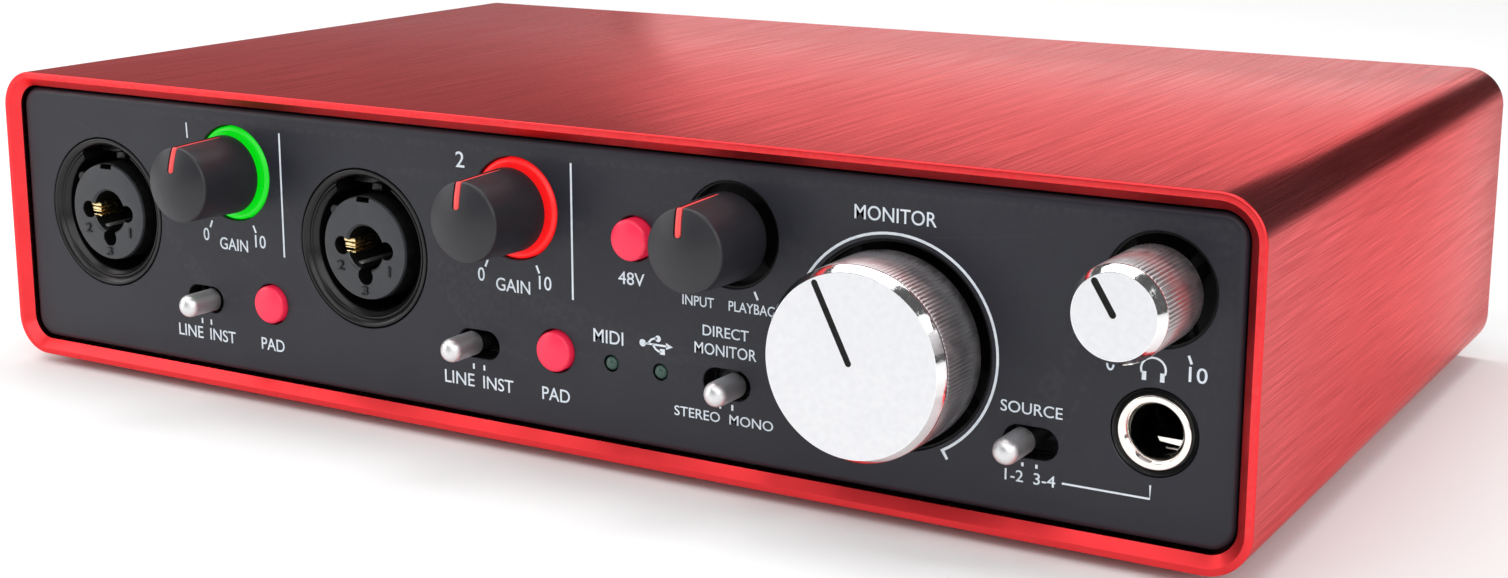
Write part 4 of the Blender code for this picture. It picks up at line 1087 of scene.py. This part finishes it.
def make_usb():
    """Bright shell, white tongue with gilt contacts, and a black collar in the panel's opening."""
    centre = spot("usb_socket")
    front, back = depth_of("usb_socket"), depth_of("usb_socket", 1)
    steps = ((0.55, front), (0.55, back - 0.15), (0.45, back), (0.1, back), (0.0, back - 0.15),
             (0.0, front))
    rings = [at_depth(usb_outline(grow), depth) for grow, depth in steps]
    shell = loft("usb_shell", rings, centre, False)
    place(shell, BRIGHT, stands_for=["usb_socket"])
    tongue = (((-2.8, front + 0.5, -1.6), (2.8, back - 2.2, 1.6), 0.3),
              ((-4.2, front, -3.8), (4.2, front + 1.0, 3.8), 0.0))
    box_piece("usb_tongue", centre, WHITE_INSERT, tongue)
    contacts = [((x - 0.5, front + 1.0, z), (x + 0.5, back - 2.6, z + 0.06), 0.0)
                for x in (-1.3, 1.3) for z in (-1.68, 1.62)]
    box_piece("usb_contacts", centre, GOLD, contacts)
    outer = rounded(6.0, 5.5, 0.4, 4)
    inner = resampled(usb_outline(0.55), len(outer))
    low, high = depth_of("rear_panel") + 0.1, REAR - 0.1
    steps = ((outer, low), (outer, high), (inner, high), (inner, low))
    collar = loft("usb_collar", [at_depth(*step) for step in steps], centre, False)
    place(collar, BLACK)


def socket_body(node, centre, half_width, low, high, bevel=0.5):
    """The black block behind the rear panel that stands for a socket's node."""
    corner = (-half_width, depth_of(node), low)
    opposite = (half_width, depth_of("rear_panel") - 0.3, high)
    name = node.replace("_block", "") + "_body"
    box_piece(name, centre, BLACK, [(corner, opposite, bevel)], [node])


def make_midi(node):
    """A five-pin socket: its body, the round insert with pin holes and a key slot, and the pins."""
    centre = (spot(node)[0], MIDI_HEIGHT)
    face = REAR - 0.2
    socket_body(node, centre, 10.2, -11.2, 9.5, 0.6)
    outline = behind(face, (0.0, -0.35), (6.0, -0.35), (6.2, -0.55), (6.2, -5.0), (7.05, -5.0),
                     (7.05, -0.15), (7.15, 0.0), (7.5, 0.0), (MIDI_RADIUS, -0.1), (MIDI_RADIUS, -6.5),
                     (0.0, -6.5))
    insert = lathe(f"{node}_face", outline, centre)
    turns = [math.radians(45 * index) for index in range(5)]
    pin_spots = [(3.75 * math.cos(turn), 3.75 * math.sin(turn)) for turn in turns]
    cutter = bmesh.new()
    for pin in pin_spots:
        add_hole(cutter, pin, 0.85, face - 0.35, face - 5.0, 0.12, 24)
    add_box(cutter, (-1.0, face - 4.0, -7.3), (1.0, face + 1.0, -5.4))
    carve(insert, cutter, centre)
    place(insert, BLACK)
    tube = behind(face, (0.62, -1.0), (0.82, -1.0), (0.82, -4.8), (0.62, -4.8))
    pins = bmesh.new()
    for pin in pin_spots:
        add_lathe(pins, tube, 20, centre=pin)
    place(finished(f"{node}_pins", pins, centre), BRIGHT)


def make_phono():
    """Four phono sockets on one block, red on the one side and white on the other."""
    end = depth_of("phono_block", 1)
    socket_body("phono_block", spot("phono_block"), 14.4, -14.4, 14.4)
    collar = behind(REAR, (3.9, -2.0), (4.75, -2.0), (4.75, 0.4), (4.6, 0.6), (3.9, 0.6))
    barrel = behind(REAR, (4.15, -1.0), (4.15, 1.1), (4.05, 1.25), (4.15, 1.4))
    barrel += behind(end, (4.15, -0.35), (4.0, -0.1), (3.75, 0.0), (3.45, 0.0), (3.3, -0.15))
    barrel.append((3.3, REAR - 1.0))
    core = [(3.25, REAR)] + behind(end, (3.25, -0.9), (3.1, -0.75), (1.85, -0.75), (1.7, -0.9))
    core.append((1.7, REAR))
    contact = [(1.66, REAR), (1.66, end - 1.1), (1.45, end - 1.1), (1.45, REAR)]
    for index, centre in enumerate(phono_spots()):
        plastic = WHITE_INSERT if index % 2 else RED_INSERT
        for part, outline, sides, material, slot in (("collar", collar, 72, plastic, "black_plastic"),
                                                     ("barrel", barrel, 72, BRIGHT, "bright_steel"),
                                                     ("core", core, 72, plastic, "black_plastic"),
                                                     ("contact", contact, 48, GOLD, "bright_steel")):
            place(lathe(f"phono_{part}_{index}", outline, centre, sides), material)


def nut_rings(low, high):
    """A six-sided nut round a bore of 5.1 mm, its outer corners turned down."""
    turns = [FULL * step / 72 for step in range(72)]
    flats = [6.5 / math.cos((turn + FULL / 12) % (FULL / 6) - FULL / 12) for turn in turns]
    crown = [min(flat, 6.7) for flat in flats]
    bore = [5.1] * len(turns)
    rings = []
    for reaches, depth in ((flats, low), (flats, high - 0.35), (crown, high), (bore, high), (bore, low)):
        rings.append([(reach * math.cos(turn), depth, reach * math.sin(turn))
                      for reach, turn in zip(reaches, turns)])
    return rings


def make_line_socket(node):
    """A rear jack socket: body, nut, threaded nose, dark well and the contact inside."""
    centre = spot(node)
    front, end = depth_of(node), depth_of(node, 1)
    socket_body(node, centre, 7.9, -7.9, 7.9)
    nut = loft(f"{node}_nut", nut_rings(REAR + 0.05, REAR + 2.0), centre, False)
    place(nut, BRIGHT)
    nose = [(5.05, REAR - 3.0)]
    pitch = 0.7
    depth = REAR - 1.0
    while depth < end - 1.0:
        nose += [(5.05, depth), (4.85, depth + pitch / 2)]
        depth += pitch
    nose += behind(end, (5.0, -0.6), (4.7, -0.1), (4.3, 0.0), (3.7, 0.0), (3.4, -0.3))
    nose.append((3.35, REAR - 3.0))
    place(lathe(f"{node}_nose", nose, centre, 72), BRIGHT)
    well = [(0.0, front + 2.0), (3.4, front + 2.0), (3.4, REAR - 3.0), (4.9, REAR - 3.0),
            (4.9, front + 1.0), (0.0, front + 1.0)]
    place(lathe(f"{node}_well", well, centre, 48), BLACK)
    contact = ((-0.7, REAR - 14.0, 2.3), (0.7, REAR - 4.0, 3.0), 0.15)
    box_piece(f"{node}_contact", centre, BRIGHT, [contact])


def make_screw(node):
    """A round-headed screw with a cross recess."""
    centre = spot(node)
    outline = [(0.0, SCREW_START), (1.4, SCREW_START)]
    outline += behind(REAR, (1.4, 0.0), (2.9, 0.0), (2.95, 0.5), (2.75, 1.1), (2.2, 1.55), (1.2, 1.8),
                      (0.0, 1.88))
    screw = lathe(node.replace("rear_", "panel_"), outline, centre, 64)
    long, short = 1.5, 0.28
    quarter = [(long, short), (short, short), (short, long)]
    cross = quarter + [(-x, z) for x, z in reversed(quarter)]
    cross += [(-x, -z) for x, z in quarter] + [(x, -z) for x, z in reversed(quarter)]
    recess = bmesh.new()
    add_loft(recess, [at_depth(cross, depth) for depth in (REAR + 0.75, REAR + 3.0)])
    carve(screw, recess, centre)
    place(screw, COAT, stands_for=[node])


# -------------------- feet and carried-over nodes

FEET = ("foot_front_left", "foot_front_right", "foot_rear_left", "foot_rear_right")


def make_foot(node):
    """A round rubber foot with a shallow ring in its sole, turned lying down and then stood up."""
    low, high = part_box(node)
    middle = (low + high) / 2
    floor = (low.z - BASE) / MM
    outline = [(0.0, 0.0), (6.5, 0.0), (6.5, floor + 0.5)] + arc((6.1, floor + 0.4), 0.4, 0, -90, 5)
    outline += behind(floor, (5.0, 0.0), (4.8, 0.25), (4.3, 0.25), (4.1, 0.0), (0.0, 0.0))
    foot = lathe(node.replace("foot", "pad"), outline, (0.0, 0.0), 72)
    foot.data.transform(Matrix.Rotation(math.radians(90), 4, "X"))
    foot.location = (middle.x, middle.y, BASE)
    place(foot, FOOT, stands_for=[node])


# what the CAD nodes that still show look like, by the slot of each in the record
CARRIED_LOOKS = {"zinc_steel": ZINC, "circuit_board": BOARD, "black_plastic": BLACK,
                 "bright_steel": SATIN, "black_steel": COAT}


def dress_carried_nodes():
    """Give each CAD node that still shows the material of its slot."""
    slots = {entry["node"]: entry["material_slot"] for entry in frame["record"]["subparts"]}
    for node, piece in frame["nodes"].items():
        if not piece.hide_render:
            piece.data.materials.clear()
            piece.data.materials.append(CARRIED_LOOKS[slots[node]])


# -------------------- stage, light and camera

def make_floor():
    """A plain pale floor, a tenth of a millimetre under the feet so that the two don't flicker."""
    bpy.ops.mesh.primitive_plane_add(size=8.0, location=(0.0, 0.0, -0.1 * MM))
    floor = bpy.context.object
    floor.name = "floor"
    look = Surface("pale_floor", (0.94, 0.94, 0.94), 0.7, 0.0, Specular_IOR_Level=0.2)
    look.tint(look.noise(120.0), 0.015)
    floor.data.materials.append(look.material)


# Softboxes round the part: name, azimuth (0 in front, 90 on the right), elevation, width and height in
# degrees, brightness
SOFTBOXES = (
    ("front_box", 0, 50, 60, 24, 2.4),
    ("right_box", 57, 29, 72, 38, 2.35),
    ("left_box", -74, 30, 50, 28, 2.4),
    ("low_left_box", -52, 11, 30, 18, 2.3),
    ("overhead_box", -100, 66, 80, 44, 2.6),
    ("back_box", -163, 13, 34, 26, 1.0),
    ("back_left_box", -133, 13, 26, 26, 0.38),
    ("floor_box", 150, 72, 50, 30, 5.5),
)
BOX_DISTANCE = 1.6
BOX_AIM = (0.0, 0.0, 0.03)
FILL = 0.10  # brightness of the room between the boxes


def softbox(name, azimuth, elevation, wide, tall, radiance):
    """A rectangular light at a direction from the part, sized in degrees and set by its brightness."""
    turn = math.radians(azimuth)
    rise = math.radians(elevation)
    towards = Vector((math.sin(turn) * math.cos(rise), -math.cos(turn) * math.cos(rise), math.sin(rise)))
    lamp = bpy.data.lights.new(name, "AREA")
    lamp.shape = "RECTANGLE"
    lamp.size = 2 * BOX_DISTANCE * math.tan(math.radians(wide) / 2) * math.cos(rise)
    lamp.size_y = 2 * BOX_DISTANCE * math.tan(math.radians(tall) / 2)
    lamp.energy = radiance * math.pi * lamp.size * lamp.size_y
    made = bpy.data.objects.new(name, lamp)
    bpy.context.scene.collection.objects.link(made)
    made.location = Vector(BOX_AIM) + towards * BOX_DISTANCE
    made.rotation_euler = (-towards).to_track_quat("-Z", "Y").to_euler()


def light_stage():
    """An even, dim room and the softboxes."""
    world = bpy.data.worlds.new("studio")
    bpy.context.scene.world = world
    world.use_nodes = True
    background = world.node_tree.nodes["Background"]
    background.inputs["Color"].default_value = (1.0, 1.0, 1.0, 1.0)
    background.inputs["Strength"].default_value = FILL
    for box in SOFTBOXES:
        softbox(*box)


CAMERA_FROM_RIM = (0.17656, -0.23739, 0.09399)  # from the middle of the sleeve's lower front edge
CAMERA_AZIMUTH = 30.79  # degrees to the right of straight in front
CAMERA_DOWN = 12.03  # degrees below level
CAMERA_LENS = 51.46  # focal length on a sensor 36 mm wide
CAMERA_SHIFT = (0.0076, -0.0374)


def make_camera():
    """The camera, at a fixed place from the sleeve's front rim."""
    data = bpy.data.cameras.new("camera")
    data.lens = CAMERA_LENS
    data.sensor_width = 36.0
    data.shift_x, data.shift_y = CAMERA_SHIFT
    data.clip_start = 0.01
    camera = bpy.data.objects.new("camera", data)
    bpy.context.scene.collection.objects.link(camera)
    across, back, up = CAMERA_FROM_RIM
    camera.location = (across, FRONT + back, BASE + up)
    turn = math.radians(CAMERA_AZIMUTH)
    down = math.radians(CAMERA_DOWN)
    level = Vector((-math.sin(turn), math.cos(turn), 0.0)) * math.cos(down)
    forward = level - Vector((0.0, 0.0, math.sin(down)))
    camera.rotation_euler = forward.to_track_quat("-Z", "Y").to_euler()
    bpy.context.scene.camera = camera


make_camera()
make_sleeve()
make_front_panel()
make_print()
for combo_number in (1, 2):
    make_combo(combo_number)
make_rubber_knob("gain_knob_1", "gain_1", -2.0)
make_rubber_knob("gain_knob_2", "gain_2", -6.0)
make_rubber_knob("mix_knob", "mix", -7.0)
make_silver_knob("monitor_knob", 12.7, 150, 0.0, -26.5, (0.0, 11.7, 0.88))
make_silver_knob("headphone_knob", 5.95, 70, 0.5, -32.0, (-0.2, 5.02, 0.85))
make_halo(1, GREEN_GLOW)
make_halo(2, RED_GLOW)
for lever in LEVERS:
    make_lever(lever)
for button in BUTTONS:
    make_button(button)
for light in LIGHTS:
    make_lens(light)
make_headphone_socket()
make_rear_panel()
make_usb()
for socket in MIDI_SOCKETS:
    make_midi(socket)
make_phono()
for socket in LINE_SOCKETS:
    make_line_socket(socket)
for screw_node in REAR_SCREWS:
    make_screw(screw_node)
for foot_node in FEET:
    make_foot(foot_node)
dress_carried_nodes()
make_floor()
light_stage()
bpy.context.scene.view_settings.view_transform = "Standard"
